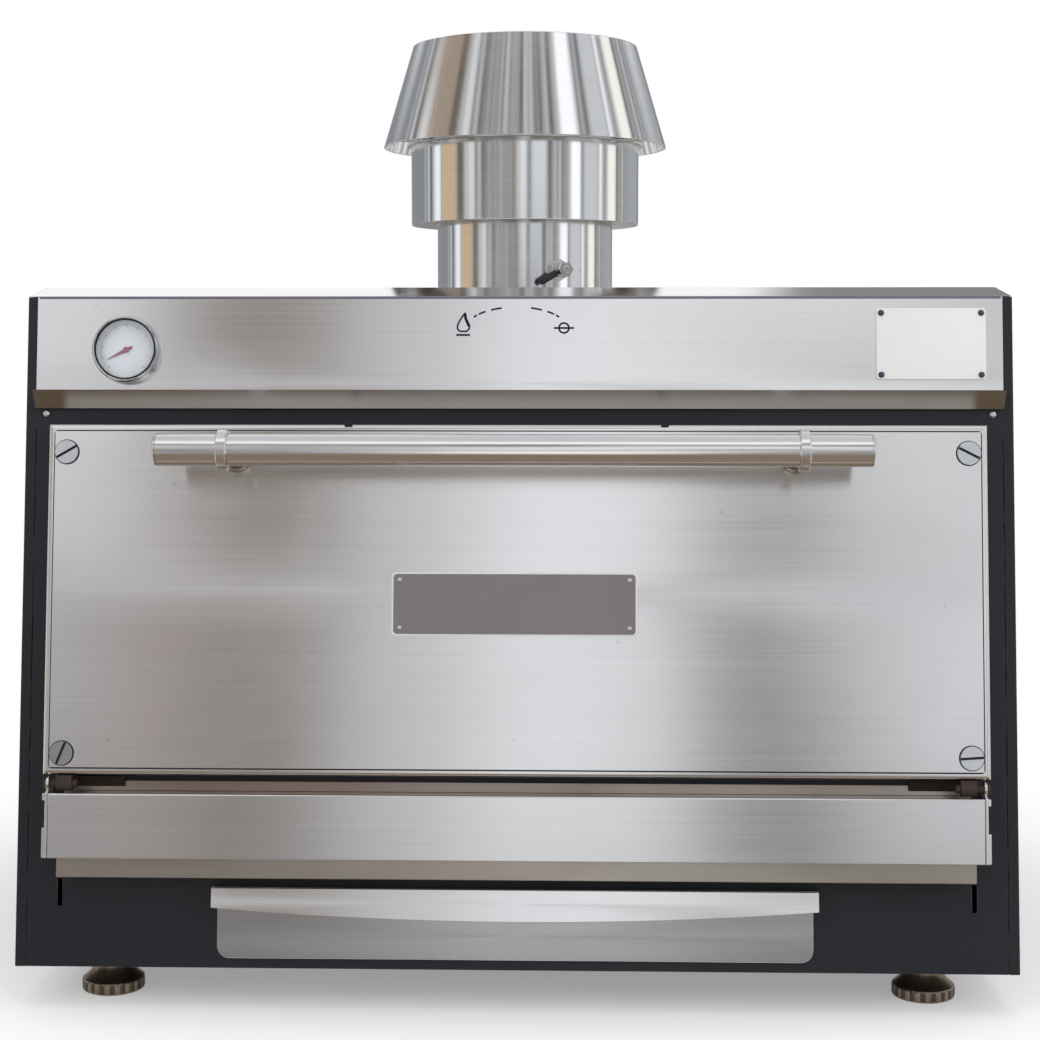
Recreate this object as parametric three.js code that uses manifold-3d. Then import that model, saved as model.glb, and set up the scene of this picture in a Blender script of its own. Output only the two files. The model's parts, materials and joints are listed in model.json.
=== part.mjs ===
// Charcoal oven for a counter or a stand: an insulated steel cabinet with a leaning front,
// a drop-down door, an ash drawer, sliding cooking grids and a flue with damper and firebreak.
// Millimetres, +Z up, the front faces -Y. The origin is on the floor below the middle of the oven.
import * as THREE from 'three';
import { mergeVertices } from 'three/addons/utils/BufferGeometryUtils.js';
import Module from 'manifold-3d';

const wasm = await Module();
wasm.setup();

const degree = Math.PI / 180;
const quarterTurn = 90 * degree;

// Clearances
const seat = 0.3;
const runningGap = 0.3;
const overrun = 40;
const weldDistance = 0.0005;

// Cabinet
const bodyWidth = 910;
const bodyDepth = 690;
const frontLean = 9 * degree;
const footHeight = 40;
const sheet = 2;
const frontSheet = 3;
const baseSheet = 3;
const sideReturn = 10;
const ventWidth = 4.5;
const ventHeight = 25;
const ventLow = 55;
const ventSideInset = 38;

// The front from bottom to top, measured up the slope
const kickHeight = 9.5;
const drawerFrontHeight = 65.5;
const drawerHeadGap = 9.5;
const stripHeight = 17.5;
const ledgeHeight = 58;
const hingeGap = 16;
const doorHeight = 317;
const doorHeadGap = 18;
const lipHeight = 16;
const fasciaHeight = 88.6;

// Lid
const lidRise = 9;
const lidFrontBevel = 27;
const lidEdgeBevel = 10;
const lidSheet = 2;

// Fascia with its folded lip
const fasciaSheet = 1.5;
const fasciaOverlap = 0.8;
const lipReach = 13;
const lipFootReach = 3;

// Ledge below the door, with the strip under it
const ledgeReach = 40;
const ledgeMargin = 38;
const ledgeSheet = 1.5;
const stripReach = 30;
const stripMargin = 44;

// Door
const doorMargin = 31;
const doorBackGap = 8;
const doorThickness = 28;
const panSheet = 1.5;
const skinSheet = 2;
const skinMargin = 7;
const mouthSideMargin = 36;
const mouthSill = 20;
const mouthHead = 23;
const plugGap = 10;
const plugDepth = 8;
const plugSheet = 1.5;
const gasketWidth = 12;
const gasketMargin = 4;
const screwSideInset = 11;
const screwHeadInset = 19;
const screwFootInset = 12.7;
const screwHeadRadius = 9.5;
const screwHeadHeight = 2.6;
const screwShankRadius = 4;
const screwSlotWidth = 2.4;
const screwSlotDepth = 1.4;
const screwSlotAngles = [30, -27, 68, 4].map((angle) => angle * degree);

// Door hinges
const hingeSetback = 5;
const pinRadius = 4;
const pinHeadRadius = 5.5;
const pinHeadLength = 2.6;
const knuckleRadius = 6.4;
const knuckleWidth = 14;
const knuckleSetIn = 6;
const bracketSheet = 2.5;
const bracketEarRadius = 7;
const bracketTabReach = 3;
const bracketTabHeight = 27;

// Door handle
const handleLength = 617;
const handleRadius = 14;
const handleWall = 1.5;
const handleReach = 71;
const handleDrop = 31;
const ringEndInset = 57.5;
const ringRadius = 18;
const ringWidth = 9;
const postRadius = 9;
const postFlangeRadius = 15;
const postFlangeHeight = 3;
const capThickness = 2;
const capSpigot = 12;

// Bare badge plate on the door
const badgeWidth = 220;
const badgeHeight = 57;
const badgeSheet = 1.5;
const badgeCorner = 4;
const badgeDrop = 4;

// Oven chamber
const sideWall = 55;
const backWall = 45;
const roofSpace = 30;
const linerSheet = 3;
const ashSpace = 20;
const ashSlotWidth = 470;
const ashSlotEndMargin = 95;
const blanketMargin = 3;

// Fire grate, in two halves
const grateThickness = 14;
const grateLeg = 25;
const grateLegSide = 12;
const grateBar = 12;
const grateSlot = 15;
const grateMargin = 10;
const grateSplit = 2;

// Rack rails and cooking grids
const railSheet = 2;
const railRise = 46;
const railPitch = 90;
const railLevels = 3;
const railFrontGap = 16;
const railHead = 22;
const railBearing = 8;
const gridMouthGap = 8;
const gridTravel = 80;
const gridBackGap = 8;
const gridBar = 9;
const gridRodRadius = 3.5;
const gridRodPitch = 27;
const gridDoorGap = 6;

// Ash drawer
const drawerFrontWidth = 540;
const drawerFrontSheet = 2;
const drawerCorner = 11.5;
const drawerLipOverhang = 3.5;
const drawerLipReach = 10;
const drawerLipBow = 4;
const drawerLipHeight = 12;
const drawerCover = 12;
const drawerFloorGap = 4.5;
const trayWallHeight = 48;
const traySideGap = 3;
const traySheet = 1.5;
const trayLength = 530;
const runnerSheet = 2.4;
const runnerFlange = 20;
const runnerHeight = 42;
const runnerSideGap = 2;

// Thermometer on the fascia
const gaugeSideInset = 94;
const gaugeHeightShare = 0.43;
const gaugeRadius = 31;
const gaugeWall = 2.4;
const gaugeDepth = 12;
const gaugeFloor = 2;
const dialSheet = 1;
const lensSheet = 2;
const lensSink = 0.8;
const pointerLength = 20;
const pointerTail = 6;
const pointerHubRadius = 2.6;
const pointerSheet = 1;
const pointerHubHeight = 2.4;
const pointerAngle = 207 * degree;
const stemRadius = 4;
const stemLength = 110;

// Bare notice plate on the fascia
const noticeWidth = 100;
const noticeHeight = 66;
const noticeSheet = 1.2;
const noticeSideInset = 25;
const noticeCorner = 3;

// Flue
const flueSetback = 285;
const flueRadius = 93;
const flueSheet = 2;
const flueRise = 120;
const flueHoleGap = 1;
const spigotFlange = 112;
const spigotHeight = 22;
const drumRadius = 120.5;
const drumLift = 72;
const drumHeight = 88;
const arrestorRadius = 84;
const arrestorLift = 18;
const arrestorArm = 15;
const hatLift = 153;
const hatHeight = 105;
const hatLowRadius = 149.5;
const hatTopRadius = 118;
const spiderRing = 4;
const spiderArm = 16;
const spiderSheet = 3;
const spiderLift = 1.5;

// Damper
const damperLift = 22;
const damperTurn = 22 * degree;
const damperShaftRadius = 4.5;
const damperEdgeGap = 3;
const damperSheet = 2;
const bossRadius = 11;
const bossLength = 11;
const shaftStandOut = 27;
const leverRadius = 4;
const leverCollar = 8;
const leverCap = 1.5;
const leverLength = 29;
const leverAngle = 215 * degree;

// Feet
const footSideInset = 75;
const footEndInset = 65;
const footRadius = 29;
const footRimHeight = 11.5;
const footRimEdge = 1.5;
const footConeHeight = 14;
const footNeckRadius = 17;
const stemThreadRadius = 8;
const footStemLength = 48;
const nutRadius = 15;
const nutHeight = 14;

// How many flat sides stand for a round
const flueSides = 44;
const roundSides = 28;
const footSides = 24;
const smallSides = 20;
const rodSides = 6;
const cornerSteps = 4;

// Worked out from the sizes above
const bodyHalf = bodyWidth / 2;
const innerHalf = bodyHalf - sideReturn - seat;
const drawerFrontLow = kickHeight;
const drawerFrontHigh = drawerFrontLow + drawerFrontHeight;
const stripLow = drawerFrontHigh + drawerHeadGap;
const ledgeLow = stripLow + stripHeight;
const ledgeHigh = ledgeLow + ledgeHeight;
const doorLow = ledgeHigh + hingeGap;
const doorHigh = doorLow + doorHeight;
const lipLow = doorHigh + doorHeadGap;
const fasciaLow = lipLow + lipHeight;
const frontHigh = fasciaLow + fasciaHeight;
const bodyHeight = frontHigh * Math.cos(frontLean);
const frameLow = frontSheet * Math.tan(frontLean);

const doorHalf = bodyHalf - doorMargin;
const panBack = doorBackGap;
const panFront = panBack + doorThickness;
const skinBack = panFront + seat;
const skinFront = skinBack + skinSheet;
const mouthHalf = doorHalf - mouthSideMargin;
const mouthLow = doorLow + mouthSill;
const mouthHigh = doorHigh - mouthHead;

const linerHalf = bodyHalf - sideWall;
const linerBack = bodyDepth - backWall;
const linerRoof = bodyHeight - roofSpace;
const linerInnerHalf = linerHalf - linerSheet;
const trayHalf = drawerFrontWidth / 2 - drawerCover - traySideGap;
const trayLow = kickHeight + drawerFloorGap;
const trayHigh = trayLow + trayWallHeight;
const linerFloor = trayHigh + ashSpace;
const chamberFloor = linerFloor + linerSheet;

const lidTop = bodyHeight + seat + lidRise;
const flueY = frontAt(bodyHeight) + flueSetback;
const hingeReach = panFront - hingeSetback;
const hingeUp = ledgeHigh + hingeGap / 2;
const ledgeHalf = bodyHalf - ledgeMargin;

const paintedBlack = new THREE.MeshStandardMaterial({ color: 0x25272b, roughness: 0.55, metalness: 0.2 });
const brushedSteel = new THREE.MeshStandardMaterial({ color: 0xc9c8c6, roughness: 0.34, metalness: 0.95 });
const polishedSteel = new THREE.MeshStandardMaterial({ color: 0xd6d7d8, roughness: 0.16, metalness: 1 });
const galvanised = new THREE.MeshStandardMaterial({ color: 0x9da0a1, roughness: 0.5, metalness: 0.8 });
const castIron = new THREE.MeshStandardMaterial({ color: 0x35322f, roughness: 0.8, metalness: 0.4 });
const sootySteel = new THREE.MeshStandardMaterial({ color: 0x5d5750, roughness: 0.65, metalness: 0.7 });
const fibre = new THREE.MeshStandardMaterial({ color: 0xe6e1d6, roughness: 1, metalness: 0 });
const rope = new THREE.MeshStandardMaterial({ color: 0x4a4a48, roughness: 1, metalness: 0 });
const badgeGrey = new THREE.MeshStandardMaterial({ color: 0x76706f, roughness: 0.5, metalness: 0.5 });
const noticeWhite = new THREE.MeshStandardMaterial({ color: 0xd9dad8, roughness: 0.45, metalness: 0.3 });
const dialWhite = new THREE.MeshStandardMaterial({ color: 0xf2f3f5, roughness: 0.5, metalness: 0 });
const pointerRed = new THREE.MeshStandardMaterial({ color: 0x8e3b52, roughness: 0.5, metalness: 0 });
const leverBlack = new THREE.MeshStandardMaterial({ color: 0x1b1b1d, roughness: 0.4, metalness: 0.2 });
const clearGlass = new THREE.MeshStandardMaterial({
  color: 0xf4f8fa, roughness: 0.05, metalness: 0, transparent: true, opacity: 0.25,
});

const oven = new THREE.Group();
const cabinet = new THREE.Group();
cabinet.position.z = footHeight;
oven.add(cabinet);

// Pieces of the leaning front are drawn upright and tilt back with this group.
// In it z runs up the slope and -y stands proud of the front.
const leaningFront = new THREE.Group();
leaningFront.rotation.x = -frontLean;
cabinet.add(leaningFront);

// The y of a plane parallel to the leaning front, at a height and a depth behind it
function frontAt(height, depth = 0) {
  return height * Math.tan(frontLean) + depth / Math.cos(frontLean);
}

// One welded triangle mesh with its faces pointing out
function welded(geometry) {
  const bare = geometry.clone();
  bare.deleteAttribute('normal');
  bare.deleteAttribute('uv');
  const merged = mergeVertices(bare, weldDistance);
  const corners = merged.getAttribute('position');
  const source = merged.getIndex().array;
  const [a, b, c] = [new THREE.Vector3(), new THREE.Vector3(), new THREE.Vector3()];
  const kept = [];
  let volume = 0;
  for (let i = 0; i < source.length; i += 3) {
    const [p, q, r] = [source[i], source[i + 1], source[i + 2]];
    if (p === q || q === r || r === p) continue;
    kept.push(p, q, r);
    a.fromBufferAttribute(corners, p);
    b.fromBufferAttribute(corners, q);
    c.fromBufferAttribute(corners, r);
    volume += a.dot(b.cross(c));
  }
  if (volume < 0) kept.reverse();
  merged.setIndex(kept);
  return merged;
}

function toSolid(geometry) {
  const mesh = welded(geometry);
  return new wasm.Manifold(new wasm.Mesh({
    numProp: 3,
    vertProperties: new Float32Array(mesh.getAttribute('position').array),
    triVerts: new Uint32Array(mesh.getIndex().array),
  }));
}

function fromSolid(solid) {
  const mesh = solid.getMesh();
  const geometry = new THREE.BufferGeometry();
  geometry.setAttribute('position', new THREE.BufferAttribute(new Float32Array(mesh.vertProperties), 3));
  geometry.setIndex(new THREE.BufferAttribute(new Uint32Array(mesh.triVerts), 1));
  return geometry;
}

function cut(base, ...cutters) {
  return fromSolid(cutters.reduce((solid, cutter) => solid.subtract(toSolid(cutter)), toSolid(base)));
}

function join(...pieces) {
  const [first, ...others] = pieces.map(toSolid);
  return fromSolid(others.reduce((solid, other) => solid.add(other), first));
}

function mirrored(geometry) {
  return welded(geometry.clone().scale(-1, 1, 1));
}

function polygon(points) {
  return new THREE.Shape(points.map(([u, v]) => new THREE.Vector2(u, v)));
}

function rectangle(left, low, right, high) {
  return polygon([[left, low], [right, low], [right, high], [left, high]]);
}

function roundedRectangle(left, low, right, high, radius) {
  const shape = new THREE.Shape();
  shape.absarc(right - radius, low + radius, radius, -quarterTurn, 0);
  shape.absarc(right - radius, high - radius, radius, 0, quarterTurn);
  shape.absarc(left + radius, high - radius, radius, quarterTurn, 2 * quarterTurn);
  shape.absarc(left + radius, low + radius, radius, 2 * quarterTurn, 3 * quarterTurn);
  return shape;
}

function circlePath(u, v, radius) {
  return new THREE.Path().absarc(u, v, radius, 0, 4 * quarterTurn);
}

function extruded(shape, depth, curveSegments = cornerSteps) {
  return new THREE.ExtrudeGeometry(shape, { depth, bevelEnabled: false, curveSegments });
}

const axisX = new THREE.Vector3(1, 0, 0);
const axisY = new THREE.Vector3(0, 1, 0);
const axisZ = new THREE.Vector3(0, 0, 1);

// A shape drawn in (y, z), extruded from one x to another
function alongX(shape, from, to, curveSegments) {
  const turned = new THREE.Matrix4().makeBasis(axisY, axisZ, axisX);
  return extruded(shape, to - from, curveSegments).applyMatrix4(turned).translate(from, 0, 0);
}

// A shape drawn in (reach proud of the front, height up the slope), extruded from one x to another
function profileAcross(shape, from, to, curveSegments) {
  return alongX(shape, from, to, curveSegments).scale(1, -1, 1);
}

// A shape drawn in (x, z), extruded from one y to another
function alongY(shape, from, to, curveSegments) {
  return extruded(shape, to - from, curveSegments).rotateX(quarterTurn).translate(0, to, 0);
}

// A shape drawn in (x, height up the slope), as a plate that stands between two reaches
function frontPlate(shape, back, front, curveSegments) {
  return alongY(shape, -front, -back, curveSegments);
}

function alongZ(shape, from, to, curveSegments) {
  return extruded(shape, to - from, curveSegments).translate(0, 0, from);
}

function box(left, right, front, back, low, high) {
  return alongZ(rectangle(left, front, right, back), low, high);
}

// A box in the leaning front, between two reaches
function frontBox(left, right, back, front, low, high) {
  return box(left, right, -front, -back, low, high);
}

// A profile of (radius, height) turned round the z axis
function revolved(points, sides = roundSides) {
  const profile = points.map(([radius, height]) => new THREE.Vector2(radius, height));
  return new THREE.LatheGeometry(profile, sides).rotateX(quarterTurn);
}

function closedRevolved(points, sides) {
  return revolved([...points, points[0]], sides);
}

function upright(radius, low, high, sides = roundSides) {
  return revolved([[0, low], [radius, low], [radius, high], [0, high]], sides);
}

// Turns what stands on z so that it stands along +x, or along -y, proud of the front
function turnedToX(geometry) {
  return geometry.rotateY(quarterTurn);
}

function turnedProud(geometry) {
  return geometry.rotateX(quarterTurn);
}

function add(name, geometry, material, parent = cabinet) {
  const shown = welded(geometry).toNonIndexed();
  shown.computeVertexNormals();
  const mesh = new THREE.Mesh(shown, material);
  mesh.name = name;
  parent.add(mesh);
  return mesh;
}

// The left piece is drawn at negative x and the right one is its mirror image
function addPair(name, leftGeometry, material, parent = cabinet) {
  add(`${name}_left`, leftGeometry, material, parent);
  add(`${name}_right`, mirrored(leftGeometry), material, parent);
}

// The side outline of the cabinet, drawn in (y, z) and pulled in all round
function bodyOutline(inset) {
  const low = inset;
  const high = bodyHeight - inset;
  const back = bodyDepth - inset;
  return polygon([[frontAt(low, inset), low], [back, low], [back, high], [frontAt(high, inset), high]]);
}

function sidePanel() {
  const panel = alongX(bodyOutline(0), -bodyHalf, -bodyHalf + sideReturn);
  const hollow = alongX(bodyOutline(sheet), -bodyHalf + sheet, -bodyHalf + sideReturn + overrun);
  return cut(panel, hollow);
}

function backPanel() {
  return box(-innerHalf, innerHalf, bodyDepth - sheet, bodyDepth, 0, bodyHeight);
}

// The four places of the feet, as [name, x, y]
function footPlaces() {
  const x = bodyHalf - footSideInset;
  const ends = [['front', footEndInset], ['rear', bodyDepth - footEndInset]];
  return ends.flatMap(([end, y]) => [[`${end}_left`, -x, y], [`${end}_right`, x, y]]);
}

// The base with a hexagonal nut welded over each foot's hole
function basePlate() {
  const front = frontAt(baseSheet, frontSheet + seat);
  const plate = box(-innerHalf, innerHalf, front, bodyDepth - sheet - seat, 0, baseSheet);
  const nuts = footPlaces().map(([, x, y]) => upright(nutRadius, baseSheet / 2, baseSheet + nutHeight, 6)
    .translate(x, y, 0));
  const holes = footPlaces().map(([, x, y]) => upright(stemThreadRadius + runningGap, -overrun, overrun, smallSides)
    .translate(x, y, 0));
  return cut(join(plate, ...nuts), ...holes);
}

function frontFrame() {
  const plate = rectangle(-innerHalf, frameLow, innerHalf, frontHigh);
  plate.holes.push(rectangle(-mouthHalf, mouthLow, mouthHalf, mouthHigh));
  const drawerHalf = trayHalf + traySideGap;
  const drawerLow = trayLow / Math.cos(frontLean) - runnerSideGap;
  const drawerHigh = trayHigh / Math.cos(frontLean) + traySideGap;
  plate.holes.push(rectangle(-drawerHalf, drawerLow, drawerHalf, drawerHigh));
  plate.holes.push(circlePath(gaugeX(), gaugeUp(), stemRadius + seat));
  const vent = bodyHalf - ventSideInset;
  plate.holes.push(rectangle(-vent, ventLow, -vent + ventWidth, ventLow + ventHeight));
  plate.holes.push(rectangle(vent - ventWidth, ventLow, vent, ventLow + ventHeight));
  return frontPlate(plate, -frontSheet, 0, smallSides / 2);
}

// A block whose rectangular top may differ from its base; each level has half, front, back and z
function taperedBlock(low, high) {
  const corners = [low, high].flatMap(({ half, front, back, z }) => [
    -half, front, z, half, front, z, half, back, z, -half, back, z,
  ]);
  const faces = [[3, 2, 1, 0], [4, 5, 6, 7], [0, 1, 5, 4], [1, 2, 6, 5], [2, 3, 7, 6], [3, 0, 4, 7]];
  const geometry = new THREE.BufferGeometry();
  geometry.setAttribute('position', new THREE.BufferAttribute(new Float32Array(corners), 3));
  geometry.setIndex(faces.flatMap(([a, b, c, d]) => [a, b, c, a, c, d]));
  return geometry;
}

// A shallow lid with sloping edges, deepest at the front, open below and round the flue
function topLid() {
  const low = bodyHeight + seat;
  const level = (inset, drop) => ({
    low: { half: bodyHalf - inset, front: frontAt(bodyHeight, inset), back: bodyDepth - inset, z: low - drop },
    high: {
      half: bodyHalf - lidEdgeBevel - inset,
      front: frontAt(bodyHeight) + lidFrontBevel + inset,
      back: bodyDepth - lidEdgeBevel - inset,
      z: lidTop - drop,
    },
  });
  const outer = level(0, 0);
  const inner = level(lidSheet, lidSheet);
  const flueHole = upright(flueRadius + flueHoleGap, low - overrun, lidTop + overrun, flueSides)
    .translate(0, flueY, 0);
  return cut(taperedBlock(outer.low, outer.high), taperedBlock(inner.low, inner.high), flueHole);
}

function gaugeX() {
  return -bodyHalf + gaugeSideInset;
}

function gaugeUp() {
  return fasciaLow + fasciaHeight * gaugeHeightShare;
}

// The fascia and its lip are one folded sheet: down, out, then down and back
function fascia() {
  const back = seat;
  const face = back + fasciaSheet;
  const high = frontHigh - face * Math.tan(frontLean);
  const profile = polygon([
    [back, high], [back, fasciaLow - fasciaSheet],
    [face + lipReach - 2 * fasciaSheet, fasciaLow - fasciaSheet],
    [lipFootReach, lipLow], [lipFootReach + fasciaSheet, lipLow],
    [face + lipReach, fasciaLow], [face, fasciaLow], [face, high],
  ]);
  const half = innerHalf + fasciaOverlap;
  const stemHole = turnedProud(upright(stemRadius + seat, -overrun, overrun, smallSides))
    .translate(gaugeX(), 0, gaugeUp());
  return cut(profileAcross(profile, -half, half), stemHole);
}

// A folded channel, closed by the hinge brackets at its ends
function frontLedge() {
  const inner = ledgeReach - ledgeSheet;
  const profile = polygon([
    [seat, ledgeLow + seat], [ledgeReach, ledgeLow + seat], [ledgeReach, ledgeHigh], [seat, ledgeHigh],
    [seat, ledgeHigh - ledgeSheet], [inner, ledgeHigh - ledgeSheet],
    [inner, ledgeLow + seat + ledgeSheet], [seat, ledgeLow + seat + ledgeSheet],
  ]);
  return profileAcross(profile, -ledgeHalf, ledgeHalf);
}

function underStrip() {
  const half = bodyHalf - stripMargin;
  const profile = polygon([
    [seat, stripLow], [stripReach, stripLow], [stripReach, ledgeLow],
    [stripReach - ledgeSheet, ledgeLow], [stripReach - ledgeSheet, stripLow + ledgeSheet],
    [seat, stripLow + ledgeSheet],
  ]);
  return profileAcross(profile, -half, half);
}

// The end plate of the ledge, with an ear that holds the hinge pin and two bent tabs
function hingeBracket() {
  const inside = -ledgeHalf - seat;
  const outside = inside - bracketSheet;
  const shape = new THREE.Shape();
  shape.moveTo(seat, ledgeLow + seat);
  shape.lineTo(ledgeReach, ledgeLow + seat);
  shape.lineTo(ledgeReach, ledgeHigh);
  shape.absarc(hingeReach, hingeUp, bracketEarRadius, -quarterTurn / 2, 2 * quarterTurn);
  shape.lineTo(seat, ledgeHigh);
  shape.holes.push(circlePath(hingeReach, hingeUp, pinRadius + runningGap));
  const plate = profileAcross(shape, outside, inside, roundSides / 4);
  const tab = (low, high) => frontBox(
    outside - bracketTabReach, outside + bracketSheet / 2,
    ledgeReach - 2 * bracketSheet, ledgeReach - bracketSheet, low, high,
  );
  const lowTab = tab(ledgeLow + seat, ledgeLow + bracketTabHeight);
  const highTab = tab(ledgeHigh - bracketTabHeight / 4, ledgeHigh - seat);
  return join(plate, lowTab, highTab);
}

function hingePin() {
  const inner = ledgeHalf - knuckleSetIn - knuckleWidth - pinRadius;
  const headStart = ledgeHalf + 2 * seat + bracketSheet;
  const pin = revolved([
    [0, inner], [pinRadius, inner], [pinRadius, headStart], [pinHeadRadius, headStart],
    [pinHeadRadius, headStart + pinHeadLength], [0, headStart + pinHeadLength],
  ], smallSides);
  return mirrored(turnedToX(pin)).translate(0, -hingeReach, hingeUp);
}

// The ear under the door that turns on the pin
function doorKnuckle() {
  const outside = -ledgeHalf + knuckleSetIn;
  const high = doorLow - seat;
  const shape = new THREE.Shape();
  shape.moveTo(hingeReach - knuckleRadius, high);
  shape.lineTo(hingeReach - knuckleRadius, hingeUp);
  shape.absarc(hingeReach, hingeUp, knuckleRadius, 2 * quarterTurn, 4 * quarterTurn);
  shape.lineTo(panFront - seat, high);
  shape.holes.push(circlePath(hingeReach, hingeUp, pinRadius + runningGap));
  return profileAcross(shape, outside, outside + knuckleWidth, roundSides / 4);
}

// The four corners of the door where its skin is screwed on, as [x, height up the slope]
function screwPlaces() {
  const x = doorHalf - skinMargin - screwSideInset;
  const low = doorLow + skinMargin + screwFootInset;
  const high = doorHigh - skinMargin - screwHeadInset;
  return [[-x, high], [x, high], [-x, low], [x, low]];
}

function doorPan() {
  const pan = frontBox(-doorHalf, doorHalf, panBack, panFront, doorLow, doorHigh);
  const hollow = frontBox(
    -doorHalf + panSheet, doorHalf - panSheet, panBack - overrun, panFront - panSheet,
    doorLow + panSheet, doorHigh - panSheet,
  );
  const holes = screwPlaces().map(([x, up]) => turnedProud(
    upright(screwShankRadius + runningGap, panBack, panFront + overrun, smallSides),
  ).translate(x, 0, up));
  return cut(pan, hollow, ...holes);
}

function doorSkin() {
  const plate = rectangle(
    -doorHalf + skinMargin, doorLow + skinMargin, doorHalf - skinMargin, doorHigh - skinMargin,
  );
  screwPlaces().forEach(([x, up]) => plate.holes.push(circlePath(x, up, screwShankRadius + runningGap)));
  return frontPlate(plate, skinBack, skinFront, smallSides / 2);
}

function doorInsulation() {
  const margin = panSheet + seat;
  return frontBox(
    -doorHalf + margin, doorHalf - margin, panBack + plugSheet + 2 * seat, panFront - panSheet - seat,
    doorLow + margin, doorHigh - margin,
  );
}

// The inner sheet closes the pan, and its pressed dish goes a little way into the mouth
function doorInnerPanel() {
  const margin = panSheet + seat;
  const flange = frontBox(
    -doorHalf + margin, doorHalf - margin, panBack, panBack + plugSheet, doorLow + margin, doorHigh - margin,
  );
  const plugHalf = mouthHalf - plugGap;
  const dish = frontBox(
    -plugHalf, plugHalf, -plugDepth, panBack + plugSheet / 2, mouthLow + plugGap, mouthHigh - plugGap,
  );
  const hollow = frontBox(
    -plugHalf + plugSheet, plugHalf - plugSheet, -plugDepth + plugSheet, panBack + overrun,
    mouthLow + plugGap + plugSheet, mouthHigh - plugGap - plugSheet,
  );
  return cut(join(flange, dish), hollow);
}

function doorGasket() {
  const inner = gasketMargin;
  const outer = gasketMargin + gasketWidth;
  const loop = roundedRectangle(
    -mouthHalf - outer, mouthLow - outer, mouthHalf + outer, mouthHigh + outer, gasketWidth,
  );
  const middle = frontBox(
    -mouthHalf - inner, mouthHalf + inner, -overrun, overrun, mouthLow - inner, mouthHigh + inner,
  );
  return cut(frontPlate(loop, seat, panBack - seat), middle);
}

// A slotted cheese-head screw, drawn on z from the inside of the pan outwards
function doorScrew(slotAngle) {
  const head = skinFront + seat;
  const low = panFront - panSheet;
  const screw = revolved([
    [0, low], [screwShankRadius, low], [screwShankRadius, head], [screwHeadRadius, head],
    [screwHeadRadius, head + screwHeadHeight / 2], [screwHeadRadius - screwHeadHeight / 3, head + screwHeadHeight],
    [0, head + screwHeadHeight],
  ], smallSides);
  const slot = box(
    -screwHeadRadius * 2, screwHeadRadius * 2, -screwSlotWidth / 2, screwSlotWidth / 2,
    head + screwHeadHeight - screwSlotDepth, head + overrun,
  ).rotateZ(slotAngle);
  return turnedProud(cut(screw, slot));
}

function handleUp() {
  return doorHigh - handleDrop;
}

function handleProud() {
  return skinFront + handleReach;
}

function handleTube() {
  const half = handleLength / 2;
  const tube = closedRevolved([
    [handleRadius - handleWall, -half], [handleRadius, -half], [handleRadius, half],
    [handleRadius - handleWall, half],
  ], roundSides);
  return turnedToX(tube).translate(0, -handleProud(), handleUp());
}

function handleCap() {
  const end = handleLength / 2 + seat;
  const spigot = handleRadius - handleWall - seat;
  const cap = revolved([
    [0, end - capSpigot], [spigot, end - capSpigot], [spigot, end], [handleRadius, end],
    [handleRadius, end + capThickness / 2], [handleRadius - capThickness / 2, end + capThickness],
    [0, end + capThickness],
  ], roundSides);
  return mirrored(turnedToX(cap)).translate(0, -handleProud(), handleUp());
}

// A flanged post whose ring holds the tube
function handlePost() {
  const root = skinFront + seat;
  const post = revolved([
    [0, root], [postFlangeRadius, root], [postFlangeRadius, root + postFlangeHeight],
    [postRadius, root + postFlangeHeight + postRadius / 4], [postRadius, handleProud()], [0, handleProud()],
  ], smallSides);
  const ring = turnedToX(upright(ringRadius, -ringWidth / 2, ringWidth / 2)).translate(0, -handleProud(), 0);
  const bore = turnedToX(upright(handleRadius + runningGap, -overrun, overrun)).translate(0, -handleProud(), 0);
  return cut(join(turnedProud(post), ring), bore).translate(-handleLength / 2 + ringEndInset, 0, handleUp());
}

function badgePlate() {
  const middle = (doorLow + doorHigh) / 2 - badgeDrop;
  const plate = roundedRectangle(
    -badgeWidth / 2, middle - badgeHeight / 2, badgeWidth / 2, middle + badgeHeight / 2, badgeCorner,
  );
  return frontPlate(plate, skinFront + seat, skinFront + seat + badgeSheet);
}

function noticePlate() {
  const right = bodyHalf - noticeSideInset;
  const middle = fasciaLow + fasciaHeight / 2;
  const plate = roundedRectangle(
    right - noticeWidth, middle - noticeHeight / 2, right, middle + noticeHeight / 2, noticeCorner,
  );
  const back = 2 * seat + fasciaSheet;
  return frontPlate(plate, back, back + noticeSheet);
}

function gaugeBack() {
  return 2 * seat + fasciaSheet;
}

// The gauge case is a cup with its sensing stem behind it
function gaugeCase() {
  const back = gaugeBack();
  const rim = back + gaugeDepth;
  const inner = gaugeRadius - gaugeWall;
  const round = gaugeWall / 3;
  const profile = [
    [0, back - stemLength], [stemRadius, back - stemLength], [stemRadius, back], [gaugeRadius - round, back],
    [gaugeRadius, back + round], [gaugeRadius, rim - round], [gaugeRadius - round, rim], [inner, rim],
    [inner, back + gaugeFloor], [0, back + gaugeFloor],
  ];
  return turnedProud(revolved(profile, roundSides)).translate(gaugeX(), 0, gaugeUp());
}

function gaugeDisc(back, front) {
  return turnedProud(upright(gaugeRadius - gaugeWall - seat, back, front)).translate(gaugeX(), 0, gaugeUp());
}

function dialFront() {
  return gaugeBack() + gaugeFloor + seat + dialSheet;
}

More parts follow.
